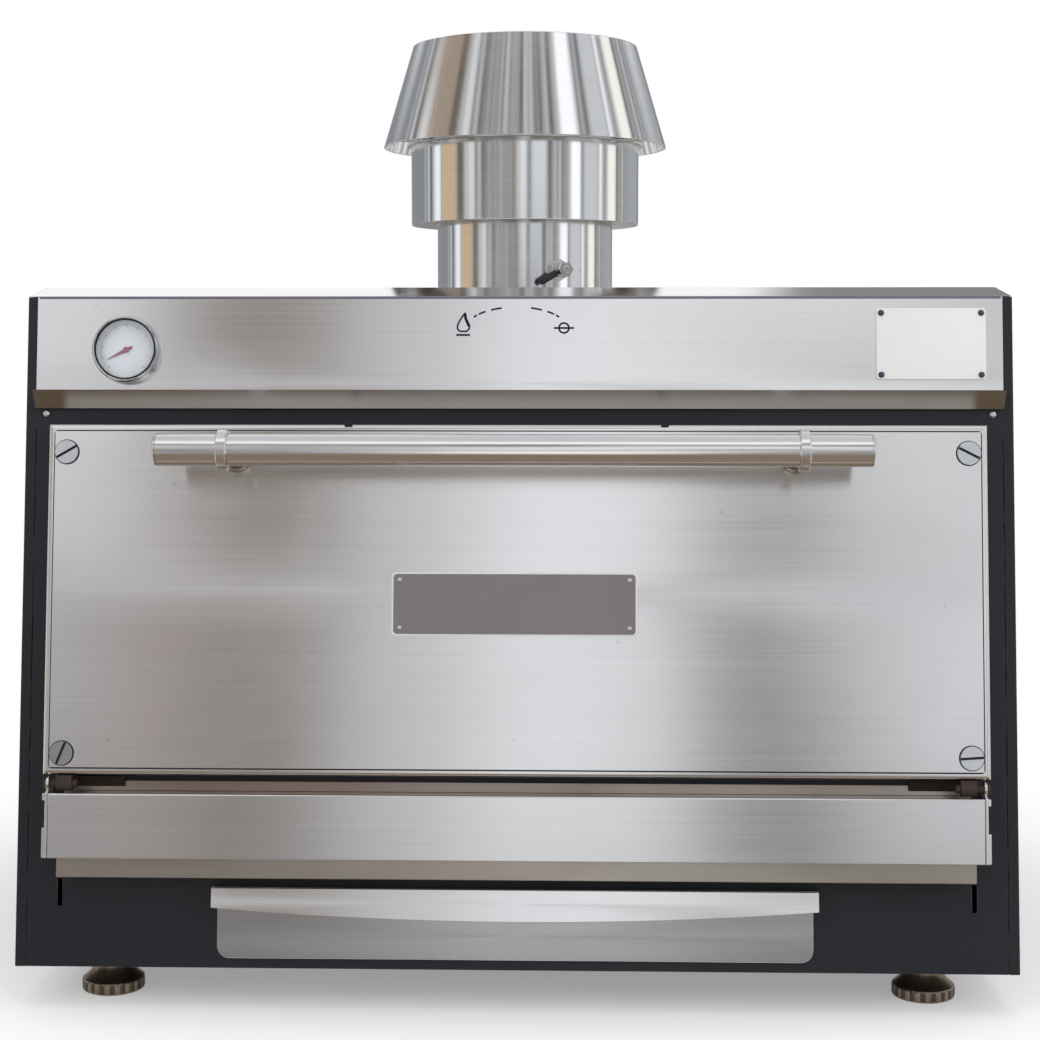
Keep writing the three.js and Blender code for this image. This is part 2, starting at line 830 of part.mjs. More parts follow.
function gaugePointer() {
  const low = dialFront() + seat;
  const half = pointerHubRadius / 3;
  const needle = alongZ(polygon([
    [-pointerTail, -half], [0, -half * 2], [pointerLength, 0], [0, half * 2], [-pointerTail, half],
  ]), low, low + pointerSheet).rotateZ(pointerAngle);
  const hub = upright(pointerHubRadius, low, low + pointerHubHeight, smallSides);
  return turnedProud(join(needle, hub)).translate(gaugeX(), 0, gaugeUp());
}

// The side outline of the chamber, open towards the front frame
function chamberOutline(low, high, back, frontDepth) {
  return polygon([[frontAt(low, frontDepth), low], [back, low], [back, high], [frontAt(high, frontDepth), high]]);
}

function ovenLiner() {
  const frontDepth = frontSheet + seat;
  const outer = alongX(chamberOutline(linerFloor, linerRoof, linerBack, frontDepth), -linerHalf, linerHalf);
  const inner = alongX(
    chamberOutline(chamberFloor, linerRoof - linerSheet, linerBack - linerSheet, -overrun),
    -linerInnerHalf, linerInnerHalf,
  );
  const flueHole = upright(flueRadius - 2 * flueSheet - seat, linerRoof - overrun, linerRoof + overrun, flueSides)
    .translate(0, flueY, 0);
  const slotFront = frontAt(linerFloor) + ashSlotEndMargin;
  const slotBack = linerBack - ashSlotEndMargin;
  const ashSlot = box(
    -ashSlotWidth / 2, ashSlotWidth / 2, slotFront, slotBack, linerFloor - overrun, linerFloor + overrun / 2,
  );
  return cut(outer, inner, flueHole, ashSlot);
}

// Fibre round the sides, back and roof of the chamber
function insulationBlanket() {
  const frontDepth = frontSheet + seat;
  const half = innerHalf - blanketMargin;
  const back = bodyDepth - sheet - seat;
  const high = bodyHeight - blanketMargin;
  const outer = alongX(chamberOutline(linerFloor, high, back, frontDepth), -half, half);
  const inner = alongX(
    chamberOutline(linerFloor - overrun, linerRoof + seat, linerBack + seat, -overrun),
    -linerHalf - seat, linerHalf + seat,
  );
  const flueHole = upright(spigotFlange + flueHoleGap, linerRoof - overrun, bodyHeight + overrun, flueSides)
    .translate(0, flueY, 0);
  return cut(outer, inner, flueHole);
}

// Half of the fire grate: a slotted casting on four short legs
function fireGrate() {
  const low = chamberFloor + seat + grateLeg;
  const left = -linerInnerHalf + grateMargin;
  const right = -grateSplit;
  const front = frontAt(low + grateThickness, frontSheet) + grateMargin;
  const back = linerBack - linerSheet - grateMargin;
  const plate = box(left, right, front, back, low, low + grateThickness);
  const middle = (front + back) / 2;
  const pitch = grateBar + grateSlot;
  const count = Math.floor((right - left - grateBar) / pitch);
  const border = (right - left - count * pitch + grateBar) / 2;
  const slots = Array.from({ length: count }, (_, i) => left + border + i * pitch).flatMap((slotLeft) => [
    box(slotLeft, slotLeft + grateSlot, front + grateBar, middle - grateBar / 2, low - overrun, low + overrun),
    box(slotLeft, slotLeft + grateSlot, middle + grateBar / 2, back - grateBar, low - overrun, low + overrun),
  ]);
  const leg = (x, y) => box(
    x, x + grateLegSide, y, y + grateLegSide, chamberFloor + seat, low + grateThickness / 2,
  );
  return join(
    cut(plate, ...slots),
    leg(left, front), leg(right - grateLegSide, front),
    leg(left, back - grateLegSide), leg(right - grateLegSide, back - grateLegSide),
  );
}

// The heights of the rack ledges
function railLevel(index) {
  return mouthLow * Math.cos(frontLean) + railRise + index * railPitch;
}

function gridHalf() {
  return mouthHalf - gridMouthGap;
}

// A sheet on the chamber's side wall with one ledge for each level
function rackRail() {
  const wall = -linerInnerHalf + seat;
  const inner = -gridHalf() + railBearing;
  const low = railLevel(0) - railHead;
  const high = railLevel(railLevels - 1) + railHead;
  const outline = [[wall, low], [wall + railSheet, low]];
  for (let i = 0; i < railLevels; i += 1) {
    const level = railLevel(i);
    outline.push([wall + railSheet, level - railSheet], [inner, level - railSheet], [inner, level]);
    outline.push([wall + railSheet, level]);
  }
  outline.push([wall + railSheet, high], [wall, high]);
  const front = frontAt(high, frontSheet) + railFrontGap;
  return alongY(polygon(outline), front, linerBack - linerSheet - seat);
}

// A rod grid in a square-bar frame, resting on the ledges of one level
function cookingGrid(index) {
  const low = railLevel(index) + seat;
  const high = low + gridBar;
  const half = gridHalf();
  const back = linerBack - linerSheet - gridBackGap;
  const front = frontAt(high, plugDepth) + gridDoorGap + gridTravel;
  const frame = rectangle(-half, front, half, back);
  frame.holes.push(rectangle(-half + gridBar, front + gridBar, half - gridBar, back - gridBar));
  const span = 2 * (half - gridBar);
  const count = Math.floor(span / gridRodPitch) - 1;
  const rods = Array.from({ length: count }, (_, i) => {
    const x = (i - (count - 1) / 2) * gridRodPitch;
    const length = back - front - gridBar;
    return new THREE.CylinderGeometry(gridRodRadius, gridRodRadius, length, rodSides)
      .translate(x, (front + back) / 2, high - gridRodRadius - seat);
  });
  return join(alongZ(frame, low, high), ...rods);
}

// The drawer's leaning front, with a bowed and folded lip along its top
function drawerFront() {
  const back = seat + seat / 2;
  const face = back + drawerFrontSheet;
  const half = drawerFrontWidth / 2;
  const shape = new THREE.Shape();
  shape.moveTo(-half, drawerFrontHigh);
  shape.lineTo(-half, drawerFrontLow + drawerCorner);
  shape.absarc(-half + drawerCorner, drawerFrontLow + drawerCorner, drawerCorner, 2 * quarterTurn, 3 * quarterTurn);
  shape.absarc(half - drawerCorner, drawerFrontLow + drawerCorner, drawerCorner, 3 * quarterTurn, 4 * quarterTurn);
  shape.lineTo(half, drawerFrontHigh);
  const plate = frontPlate(shape, back, face);
  const lipHalf = half + drawerLipOverhang;
  const bowed = (reach) => {
    const edge = new THREE.Shape();
    edge.moveTo(-lipHalf, -back);
    edge.lineTo(-lipHalf, -reach);
    edge.quadraticCurveTo(0, -reach - 2 * drawerLipBow, lipHalf, -reach);
    edge.lineTo(lipHalf, -back);
    return edge;
  };
  const reach = face + drawerLipReach;
  const lip = alongZ(bowed(reach), drawerFrontHigh - drawerLipHeight, drawerFrontHigh, 2 * cornerSteps);
  const under = alongZ(
    bowed(reach - drawerFrontSheet), drawerFrontHigh - drawerLipHeight - overrun,
    drawerFrontHigh - drawerFrontSheet, 2 * cornerSteps,
  );
  const kept = frontBox(-lipHalf - overrun, lipHalf + overrun, back - overrun, face, 0, frontHigh);
  return join(plate, cut(lip, cut(under, kept)));
}

// The drawer's tray, open at the top, with its front end in the frame's opening
function drawerTray() {
  const frontDepth = seat / 2;
  const outline = (low, high, inset) => polygon([
    [frontAt(low, frontDepth + inset), low], [frontAt(low, frontDepth) + trayLength - inset, low],
    [frontAt(low, frontDepth) + trayLength - inset, high], [frontAt(high, frontDepth + inset), high],
  ]);
  const outer = alongX(outline(trayLow, trayHigh, 0), -trayHalf, trayHalf);
  const inner = alongX(
    outline(trayLow + traySheet, trayHigh + overrun, traySheet), -trayHalf + traySheet, trayHalf - traySheet,
  );
  return cut(outer, inner);
}

// An angle on the base, with a flange that the tray slides on
function drawerRunner() {
  const web = -trayHalf - runnerSideGap;
  const flangeHigh = trayLow - seat;
  const outline = polygon([
    [web - runnerSheet, baseSheet + seat], [web, baseSheet + seat], [web, flangeHigh - runnerSheet],
    [web + runnerFlange, flangeHigh - runnerSheet], [web + runnerFlange, flangeHigh], [web, flangeHigh],
    [web, baseSheet + runnerHeight], [web - runnerSheet, baseSheet + runnerHeight],
  ]);
  const front = frontAt(baseSheet + runnerHeight, frontSheet + seat);
  return alongY(outline, front, frontAt(trayLow) + trayLength);
}

// A flanged sleeve on the chamber's roof; the flue pipe slips over it
function flueSpigot() {
  const low = linerRoof + seat;
  const outer = flueRadius - flueSheet - seat;
  const inner = outer - flueSheet;
  return closedRevolved([
    [inner, low], [spigotFlange, low], [spigotFlange, low + flueSheet], [outer, low + flueSheet],
    [outer, low + spigotHeight], [inner, low + spigotHeight],
  ], flueSides);
}

function damperZ() {
  return lidTop + damperLift;
}

function fluePipe() {
  const low = linerRoof + flueSheet + 2 * seat;
  const inner = flueRadius - flueSheet;
  const pipe = closedRevolved([
    [inner, low], [flueRadius, low], [flueRadius, lidTop + flueRise], [inner, lidTop + flueRise],
  ], flueSides);
  const holes = new THREE.CylinderGeometry(
    damperShaftRadius + runningGap, damperShaftRadius + runningGap, 2 * (flueRadius + overrun), smallSides,
  ).rotateZ(damperTurn).translate(0, 0, damperZ());
  return cut(pipe, holes);
}

// An open drum whose floor closes on the pipe
function firebreakDrum() {
  const low = lidTop + drumLift;
  const hole = flueRadius + seat;
  const inner = drumRadius - flueSheet;
  return closedRevolved([
    [hole, low], [drumRadius, low], [drumRadius, low + drumHeight], [inner, low + drumHeight],
    [inner, low + flueSheet], [hole, low + flueSheet],
  ], flueSides);
}

// Three arms round a centre, each as long as given
function arms(length, width, low, high) {
  return [0, 1, 2].map((i) => box(0, length, -width / 2, width / 2, low, high)
    .rotateZ(quarterTurn + i * 4 * quarterTurn / 3));
}

// How long a square-ended arm may be to end just short of a round wall
function armReach(wallRadius, width) {
  return Math.sqrt((wallRadius * Math.cos(2 * quarterTurn / flueSides)) ** 2 - (width / 2) ** 2) - seat;
}

// A disc above the pipe's mouth that turns sparks back, on three arms to the drum's wall
function sparkArrestor() {
  const low = lidTop + flueRise + arrestorLift;
  const disc = upright(arrestorRadius, low, low + flueSheet, roundSides);
  return join(disc, ...arms(armReach(drumRadius - flueSheet, arrestorArm), arrestorArm, low, low + flueSheet));
}

function hatRadiusAt(height) {
  return THREE.MathUtils.mapLinear(height, 0, hatHeight, hatLowRadius, hatTopRadius);
}

// A cone open at both ends, on three arms welded to a ring that sits round the drum's rim
function flueHat() {
  const low = lidTop + hatLift;
  const cone = closedRevolved([
    [hatLowRadius - flueSheet, low], [hatLowRadius, low], [hatTopRadius, low + hatHeight],
    [hatTopRadius - flueSheet, low + hatHeight],
  ], flueSides);
  const armLow = low + spiderLift;
  const armHigh = armLow + spiderSheet;
  const inner = drumRadius + seat;
  const ring = upright(inner + spiderRing, armLow, armHigh, flueSides);
  const reach = hatRadiusAt(spiderLift + spiderSheet) - flueSheet / 2;
  const bore = upright(inner, low - overrun, armHigh + overrun, flueSides);
  return join(cone, cut(join(ring, ...arms(reach, spiderArm, armLow, armHigh)), bore));
}

// The damper's own group: the shaft lies along y, and -y comes out of the flue towards the front
const damper = new THREE.Group();
damper.position.set(0, flueY, damperZ());
damper.rotation.z = damperTurn;
cabinet.add(damper);

function damperShaft() {
  const inner = -flueRadius;
  const outer = flueRadius + shaftStandOut;
  return turnedProud(upright(damperShaftRadius, inner, outer, smallSides));
}

function damperPlate() {
  const low = damperShaftRadius + seat;
  return turnedToX(upright(flueRadius - flueSheet - damperEdgeGap, low, low + damperSheet, roundSides));
}

// A hexagonal nut on the pipe that the shaft turns in
function damperBoss() {
  const root = flueRadius + seat;
  const nut = turnedProud(upright(bossRadius, root, root + bossLength, 6));
  const bore = turnedProud(upright(damperShaftRadius + runningGap, -overrun, root + overrun, smallSides));
  return cut(nut, bore);
}

// A collar on the shaft's end with a short round lever
function damperLever() {
  const root = flueRadius + 2 * seat + bossLength + seat;
  const outer = flueRadius + shaftStandOut + seat + leverCap;
  const collar = turnedProud(upright(leverCollar, root, outer, smallSides));
  const bore = turnedProud(upright(damperShaftRadius + seat, root - overrun, outer - leverCap, smallSides));
  const middle = -(root + outer) / 2;
  const lever = turnedToX(upright(leverRadius, damperShaftRadius + 3 * seat, leverLength, smallSides))
    .rotateY(-leverAngle).translate(0, middle, 0);
  return join(cut(collar, bore), lever);
}

// A round foot with a conical neck and a threaded stem, drawn from the floor up
function levellingFoot() {
  const neckHigh = footHeight - seat;
  const stemHigh = footHeight + footStemLength;
  return revolved([
    [0, 0], [footRadius - footRimEdge, 0], [footRadius, footRimEdge], [footRadius, footRimHeight - footRimEdge],
    [footRadius - footRimEdge, footRimHeight], [footNeckRadius, footRimHeight + footConeHeight],
    [footNeckRadius, neckHigh], [stemThreadRadius, neckHigh], [stemThreadRadius, stemHigh], [0, stemHigh],
  ], footSides);
}

addPair('side_panel', sidePanel(), paintedBlack);
add('back_panel', backPanel(), paintedBlack);
add('base_plate', basePlate(), paintedBlack);
add('front_frame', frontFrame(), paintedBlack, leaningFront);
add('top_lid', topLid(), brushedSteel);
add('fascia', fascia(), brushedSteel, leaningFront);
add('front_ledge', frontLedge(), brushedSteel, leaningFront);
add('ledge_under_strip', underStrip(), brushedSteel, leaningFront);
addPair('hinge_bracket', hingeBracket(), brushedSteel, leaningFront);
addPair('hinge_pin', hingePin(), polishedSteel, leaningFront);

addPair('door_knuckle', doorKnuckle(), brushedSteel, leaningFront);
add('door_pan', doorPan(), brushedSteel, leaningFront);
add('door_skin', doorSkin(), brushedSteel, leaningFront);
add('door_insulation', doorInsulation(), fibre, leaningFront);
add('door_inner_panel', doorInnerPanel(), sootySteel, leaningFront);
add('door_gasket', doorGasket(), rope, leaningFront);
screwPlaces().forEach(([x, up], i) => {
  const screw = doorScrew(screwSlotAngles[i]).translate(x, 0, up);
  add(`door_screw_${i + 1}`, screw, polishedSteel, leaningFront);
});
add('handle_tube', handleTube(), polishedSteel, leaningFront);
addPair('handle_cap', handleCap(), polishedSteel, leaningFront);
addPair('handle_post', handlePost(), polishedSteel, leaningFront);
add('badge_plate', badgePlate(), badgeGrey, leaningFront);

add('notice_plate', noticePlate(), noticeWhite, leaningFront);
add('gauge_case', gaugeCase(), polishedSteel, leaningFront);
add('gauge_dial', gaugeDisc(dialFront() - dialSheet, dialFront()), dialWhite, leaningFront);
add('gauge_pointer', gaugePointer(), pointerRed, leaningFront);
const lensFront = gaugeBack() + gaugeDepth - lensSink;
add('gauge_lens', gaugeDisc(lensFront - lensSheet, lensFront), clearGlass, leaningFront);

add('oven_liner', ovenLiner(), sootySteel);
add('insulation_blanket', insulationBlanket(), fibre);
addPair('fire_grate', fireGrate(), castIron);
addPair('rack_rail', rackRail(), sootySteel);
add('cooking_grid_lower', cookingGrid(0), sootySteel);
add('cooking_grid_upper', cookingGrid(1), sootySteel);

add('ash_drawer_front', drawerFront(), brushedSteel, leaningFront);
add('ash_drawer_tray', drawerTray(), galvanised);
addPair('drawer_runner', drawerRunner(), galvanised);

const flueAxis = new THREE.Group();
flueAxis.position.y = flueY;
cabinet.add(flueAxis);
add('flue_spigot', flueSpigot(), galvanised, flueAxis);
add('flue_pipe', fluePipe(), polishedSteel, flueAxis);
add('firebreak_drum', firebreakDrum(), polishedSteel, flueAxis);
add('spark_arrestor', sparkArrestor(), galvanised, flueAxis);
add('flue_hat', flueHat(), polishedSteel, flueAxis);
add('damper_shaft', damperShaft(), galvanised, damper);
add('damper_plate', damperPlate(), sootySteel, damper);
add('damper_boss', damperBoss(), polishedSteel, damper);
add('damper_lever', damperLever(), leverBlack, damper);

footPlaces().forEach(([name, x, y]) => {
  add(`foot_${name}`, levellingFoot().translate(x, y, 0), polishedSteel, oven);
});

// The origin goes below the middle of the oven's reach from front to back
oven.updateMatrixWorld(true);
const reach = new THREE.Box3().setFromObject(oven, true);
oven.position.y = -(reach.min.y + reach.max.y) / 2;

export default oven;
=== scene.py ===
"""Looks of the charcoal oven: fine pieces, small fittings, materials, light and camera."""
import json
import math

import bmesh
import bpy
from mathutils import Matrix, Vector


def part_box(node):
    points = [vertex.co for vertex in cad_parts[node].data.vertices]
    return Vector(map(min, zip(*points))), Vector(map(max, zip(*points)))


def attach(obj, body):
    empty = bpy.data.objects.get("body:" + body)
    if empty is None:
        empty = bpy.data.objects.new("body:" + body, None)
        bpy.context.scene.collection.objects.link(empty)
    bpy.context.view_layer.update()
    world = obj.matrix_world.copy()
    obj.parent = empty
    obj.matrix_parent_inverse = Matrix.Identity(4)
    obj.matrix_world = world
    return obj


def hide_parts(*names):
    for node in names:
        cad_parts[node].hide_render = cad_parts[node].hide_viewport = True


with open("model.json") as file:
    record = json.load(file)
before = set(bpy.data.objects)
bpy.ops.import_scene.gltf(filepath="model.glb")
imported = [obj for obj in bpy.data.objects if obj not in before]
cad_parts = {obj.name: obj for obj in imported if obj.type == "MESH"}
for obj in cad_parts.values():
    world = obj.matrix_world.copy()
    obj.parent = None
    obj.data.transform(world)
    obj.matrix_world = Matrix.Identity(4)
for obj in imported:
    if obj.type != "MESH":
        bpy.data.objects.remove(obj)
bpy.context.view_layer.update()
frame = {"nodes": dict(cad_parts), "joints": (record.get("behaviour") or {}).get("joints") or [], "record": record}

mm = 0.001
full_turn = 2 * math.pi
up_axis = Vector((0, 0, 1))

# Camera, placed for the photograph
camera_place = Vector((0.0539, -2.0359, 0.6081))
camera_yaw = math.radians(-1.614)
camera_dip = math.radians(5.27)
camera_lens = 67.5
camera_film = 36


def add_camera():
    data = bpy.data.cameras.new("camera")
    data.lens = camera_lens
    data.sensor_width = camera_film
    data.clip_end = 50
    camera = bpy.data.objects.new("camera", data)
    bpy.context.scene.collection.objects.link(camera)
    forward = Vector((
        math.sin(camera_yaw) * math.cos(camera_dip),
        math.cos(camera_yaw) * math.cos(camera_dip),
        -math.sin(camera_dip),
    ))
    camera.location = camera_place
    camera.rotation_mode = "QUATERNION"
    camera.rotation_quaternion = forward.to_track_quat("-Z", "Y")
    bpy.context.scene.camera = camera


add_camera()

# The leaning front: its foot and its own axes, with x across, y inwards and z up the slope
front_lean = math.radians(9)
front_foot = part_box("side_panel_left")[0]
front_space = (
    Matrix.Translation((0, front_foot.y, front_foot.z))
    @ Matrix.Rotation(-front_lean, 4, "X")
)
into_front = front_space.inverted()

# A plate drawn in (x, height up the slope) faces out of the front with the first of these turns
facing_out = Matrix.Rotation(math.pi / 2, 4, "X")
lying_across = Matrix.Rotation(math.pi / 2, 4, "Y")
plate_space = front_space @ facing_out


def on_front(x, up, proud):
    """A place by x, height up the slope and reach in front of the cabinet, all in metres."""
    return front_space @ Vector((x, -proud, up))


def in_front_space(node):
    """The lowest and highest corner of a CAD node, measured in the leaning front's own axes."""
    places = [into_front @ vertex.co for vertex in frame["nodes"][node].data.vertices]
    low = Vector([min(place[i] for place in places) for i in range(3)])
    high = Vector([max(place[i] for place in places) for i in range(3)])
    return low, high


def space_at(x, up):
    """Axes at a place on the leaning front, with z straight out of it."""
    return front_space @ Matrix.Translation((x, 0, up)) @ facing_out


def plate_corners(node, inset, gap):
    """Places near the four corners of a plate on the front, a gap in front of it."""
    low, high = in_front_space(node)
    return [
        on_front(x, up, -low.y + gap)
        for x in (low.x + inset, high.x - inset)
        for up in (low.z + inset, high.z - inset)
    ]


def upright_centre(node):
    """The middle of a CAD node's box as seen from above, at height 0."""
    low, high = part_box(node)
    return Vector(((low.x + high.x) / 2, (low.y + high.y) / 2, 0))


def joint_named(name):
    return next(joint for joint in frame["joints"] if joint["name"] == name)


# Node trees


class Wiring:
    """A node tree, with short calls that add nodes and links."""

    def __init__(self, tree):
        self.tree = tree

    def node(self, kind, inputs=None, **settings):
        made = self.tree.nodes.new(kind)
        for key, value in settings.items():
            setattr(made, key, value)
        for key, value in (inputs or {}).items():
            socket = made.inputs[key]
            if isinstance(value, bpy.types.NodeSocket):
                self.tree.links.new(value, socket)
            else:
                socket.default_value = value
        return made

    def join(self, value, socket):
        self.tree.links.new(value, socket)

    def math(self, operation, first, second=0.0, clamp=False):
        inputs = {0: first, 1: second}
        return self.node("ShaderNodeMath", inputs, operation=operation, use_clamp=clamp).outputs[0]

    def vector(self, x=0.0, y=0.0, z=0.0):
        return self.node("ShaderNodeCombineXYZ", {"X": x, "Y": y, "Z": z}).outputs[0]

    def remap(self, value, low, high, to_low=0.0, to_high=1.0, smooth=True):
        inputs = {"Value": value, "From Min": low, "From Max": high, "To Min": to_low, "To Max": to_high}
        kind = "SMOOTHSTEP" if smooth else "LINEAR"
        return self.node("ShaderNodeMapRange", inputs, interpolation_type=kind).outputs[0]

    def mix(self, factor, first, second):
        inputs = {"Factor": factor, 6: first, 7: second}
        return self.node("ShaderNodeMix", inputs, data_type="RGBA").outputs[2]

    def scaled(self, colour, factor):
        inputs = {0: colour[:3] if isinstance(colour, tuple) else colour, "Scale": factor}
        return self.node("ShaderNodeVectorMath", inputs, operation="SCALE").outputs[0]

    def plain_noise(self, place, scale, detail, **more):
        inputs = {"Vector": place, "Scale": scale, "Detail": detail, **more}
        return self.node("ShaderNodeTexNoise", inputs).outputs["Fac"]

    def noise(self, place, stretch, scale=1.0, detail=2.0):
        """Noise that is finer along an axis the more it is stretched."""
        spread = self.node("ShaderNodeMapping", {"Vector": place, "Scale": stretch}).outputs[0]
        return self.plain_noise(spread, scale, detail)

    def object_place(self):
        return self.node("ShaderNodeTexCoord").outputs["Object"]


def effect_group(name, inputs, outputs):
    """A shader group with named float inputs and named outputs, and the wiring inside it."""
    tree = bpy.data.node_groups.new(name, "ShaderNodeTree")
    for label, value in inputs.items():
        socket = tree.interface.new_socket(label, in_out="INPUT", socket_type="NodeSocketFloat")
        socket.default_value = value
    for label in outputs:
        tree.interface.new_socket(label, in_out="OUTPUT", socket_type="NodeSocketFloat")
    wiring = Wiring(tree)
    return wiring, wiring.node("NodeGroupInput").outputs, wiring.node("NodeGroupOutput").inputs, tree


def brushing_group():
    """Fine lines along one axis, as a grinding belt leaves them."""
    wiring, given, result, tree = effect_group(
        "belt brushing",
        {"Along X": 6, "Along Y": 6, "Along Z": 900, "Depth": 1},
        ("Tone", "Roughness", "Height"),
    )
    stretch = wiring.vector(given["Along X"], given["Along Y"], given["Along Z"])
    place = wiring.node(
        "ShaderNodeVectorMath", {0: wiring.object_place(), 1: stretch}, operation="MULTIPLY",
    ).outputs[0]
    fine = wiring.plain_noise(place, 1.0, 3.0)
    broad = wiring.plain_noise(place, 0.17, 2.0)
    both = wiring.math("ADD", wiring.math("MULTIPLY", fine, 0.6), wiring.math("MULTIPLY", broad, 0.4))
    centred = wiring.math("MULTIPLY", wiring.math("SUBTRACT", both, 0.5), given["Depth"])
    wiring.join(centred, result["Tone"])
    wiring.join(centred, result["Roughness"])
    wiring.join(wiring.math("MULTIPLY", fine, given["Depth"]), result["Height"])
    return tree


def handling_group():
    """Cloudy patches where hands, cloths and grease have dulled a surface."""
    wiring, given, result, tree = effect_group(
        "handling marks", {"Size": 5, "Amount": 1}, ("Dulling", "Spots"),
    )
    place = wiring.object_place()
    clouds = wiring.plain_noise(place, given["Size"], 4.0, Distortion=0.6)
    patches = wiring.remap(clouds, 0.45, 0.75)
    wiring.join(wiring.math("MULTIPLY", patches, given["Amount"]), result["Dulling"])
    specks = wiring.node("ShaderNodeTexVoronoi", {"Vector": place, "Scale": 24.0}).outputs["Distance"]
    dots = wiring.remap(specks, 0.055, 0.03)
    wiring.join(wiring.math("MULTIPLY", dots, given["Amount"]), result["Spots"])
    return tree


def soot_group():
    """Smoke and soot, thicker in patches and towards the top of the chamber."""
    wiring, given, result, tree = effect_group(
        "soot", {"Size": 14, "Low": 0.12, "High": 0.62, "Amount": 1}, ("Cover", "Height"),
    )
    place = wiring.object_place()
    height = wiring.node("ShaderNodeSeparateXYZ", {0: place}).outputs["Z"]
    rise = wiring.remap(height, given["Low"], given["High"])
    clouds = wiring.plain_noise(place, given["Size"], 6.0, Roughness=0.65)
    patches = wiring.remap(clouds, 0.3, 0.7, 0.2, 0.8)
    cover = wiring.math("ADD", wiring.math("MULTIPLY", rise, 0.4), patches, clamp=True)
    wiring.join(wiring.math("MULTIPLY", cover, given["Amount"]), result["Cover"])
    crust = wiring.plain_noise(place, 420.0, 3.0)
    wiring.join(crust, result["Height"])
    return tree


def edge_group():
    """A mask of the corners and folds, broken up as wear is."""
    wiring, given, result, tree = effect_group("edge wear", {"Reach": 0.0015, "Amount": 1}, ("Worn",))
    rounded = wiring.node("ShaderNodeBevel", {"Radius": given["Reach"]}, samples=4).outputs[0]
    plain = wiring.node("ShaderNodeNewGeometry").outputs["Normal"]
    same = wiring.node(
        "ShaderNodeVectorMath", {0: rounded, 1: plain}, operation="DOT_PRODUCT",
    ).outputs["Value"]
    edge = wiring.remap(same, 0.995, 0.93)
    patches = wiring.plain_noise(wiring.object_place(), 60.0, 5.0)
    worn = wiring.math("MULTIPLY", edge, wiring.remap(patches, 0.42, 0.62))
    wiring.join(wiring.math("MULTIPLY", worn, given["Amount"]), result["Worn"])
    return tree


brushing = brushing_group()
handling = handling_group()
soot = soot_group()
edge_wear = edge_group()


# Materials


def start_material(name, **constants):
    """A material with a Principled shader, whose plain values are set on its own sockets."""
    material = bpy.data.materials.new(name)
    material.use_nodes = True
    wiring = Wiring(material.node_tree)
    shader = material.node_tree.nodes["Principled BSDF"]
    for label, value in constants.items():
        shader.inputs[label.replace("_", " ")].default_value = value
    return material, wiring, shader


def drive(wiring, shader, colour=None, roughness=None, metallic=None, height=None, depth=0.0001):
    """Feeds a shader's colour, roughness, metal and bump from what varies over the surface."""
    fed = {"Base Color": colour, "Roughness": roughness, "Metallic": metallic}
    for label, value in fed.items():
        if value is not None:
            wiring.join(value, shader.inputs[label])
    if height is not None:
        bump = wiring.node("ShaderNodeBump", {"Height": height, "Distance": depth})
        wiring.join(bump.outputs[0], shader.inputs["Normal"])


def use_group(wiring, tree, **values):
    placed = wiring.node("ShaderNodeGroup", node_tree=tree)
    for label, value in values.items():
        placed.inputs[label.replace("_", " ")].default_value = value
    return placed.outputs


def grey(level, warmth=0.0):
    """An RGBA grey, a little red with positive warmth and a little blue with negative."""
    return (level * (1 + warmth), level, level * (1 - warmth), 1)


def steel(name, tone, roughness, lines, anisotropic=0.0, depth=0.00002, dulled=0.06, tint=None):
    """Stainless steel with belt lines. lines gives the noise scales along x, y and z."""
    material, wiring, shader = start_material(
        name, Metallic=1.0, Anisotropic=anisotropic, Anisotropic_Rotation=0.25 if anisotropic else 0.0,
    )
    along_x, along_y, along_z = lines
    belt = use_group(wiring, brushing, Along_X=along_x, Along_Y=along_y, Along_Z=along_z, Depth=1.0)
    hands = use_group(wiring, handling, Size=5.0, Amount=1.0)
    light = wiring.math("ADD", 1.0, wiring.math("MULTIPLY", belt["Tone"], 0.16))
    light = wiring.math("SUBTRACT", light, wiring.math("MULTIPLY", hands["Spots"], 0.10))
    colour = wiring.node("ShaderNodeRGB").outputs[0]
    colour.default_value = tone
    if tint is not None:
        clouds = wiring.noise(wiring.object_place(), (3, 3, 9), detail=3.0)
        colour = wiring.mix(wiring.remap(clouds, 0.35, 0.65), tone, tint)
    colour = wiring.scaled(colour, light)
    rough = wiring.math("ADD", roughness, wiring.math("MULTIPLY", belt["Roughness"], 0.05))
    rough = wiring.math("ADD", rough, wiring.math("MULTIPLY", hands["Dulling"], dulled))
    drive(wiring, shader, colour, rough, height=belt["Height"], depth=depth)
    if anisotropic:
        tangent = wiring.node("ShaderNodeTangent", direction_type="RADIAL", axis="Z")
        wiring.join(tangent.outputs[0], shader.inputs["Tangent"])
    return material


def powder_coat(name, tone, worn_tone):
    """Satin powder coat with a fine orange-peel skin and slightly rubbed edges."""
    material, wiring, shader = start_material(name, Metallic=0.0, Specular_IOR_Level=0.35)
    place = wiring.object_place()
    hands = use_group(wiring, handling, Size=3.5, Amount=1.0)
    worn = use_group(wiring, edge_wear, Reach=0.0012, Amount=0.6)["Worn"]
    clouds = wiring.noise(place, (2.2, 2.2, 2.2), detail=3.0)
    shade = wiring.scaled(tone, wiring.remap(clouds, 0.3, 0.7, 0.85, 1.2, smooth=False))
    colour = wiring.mix(worn, shade, worn_tone)
    skin = wiring.noise(place, (1, 1, 1), scale=900.0)
    rough = wiring.math("ADD", 0.42, wiring.math("MULTIPLY", hands["Dulling"], 0.12))
    rough = wiring.math("ADD", rough, wiring.math("MULTIPLY", worn, 0.1))
    drive(wiring, shader, colour, rough, height=skin, depth=0.00006)
    return material


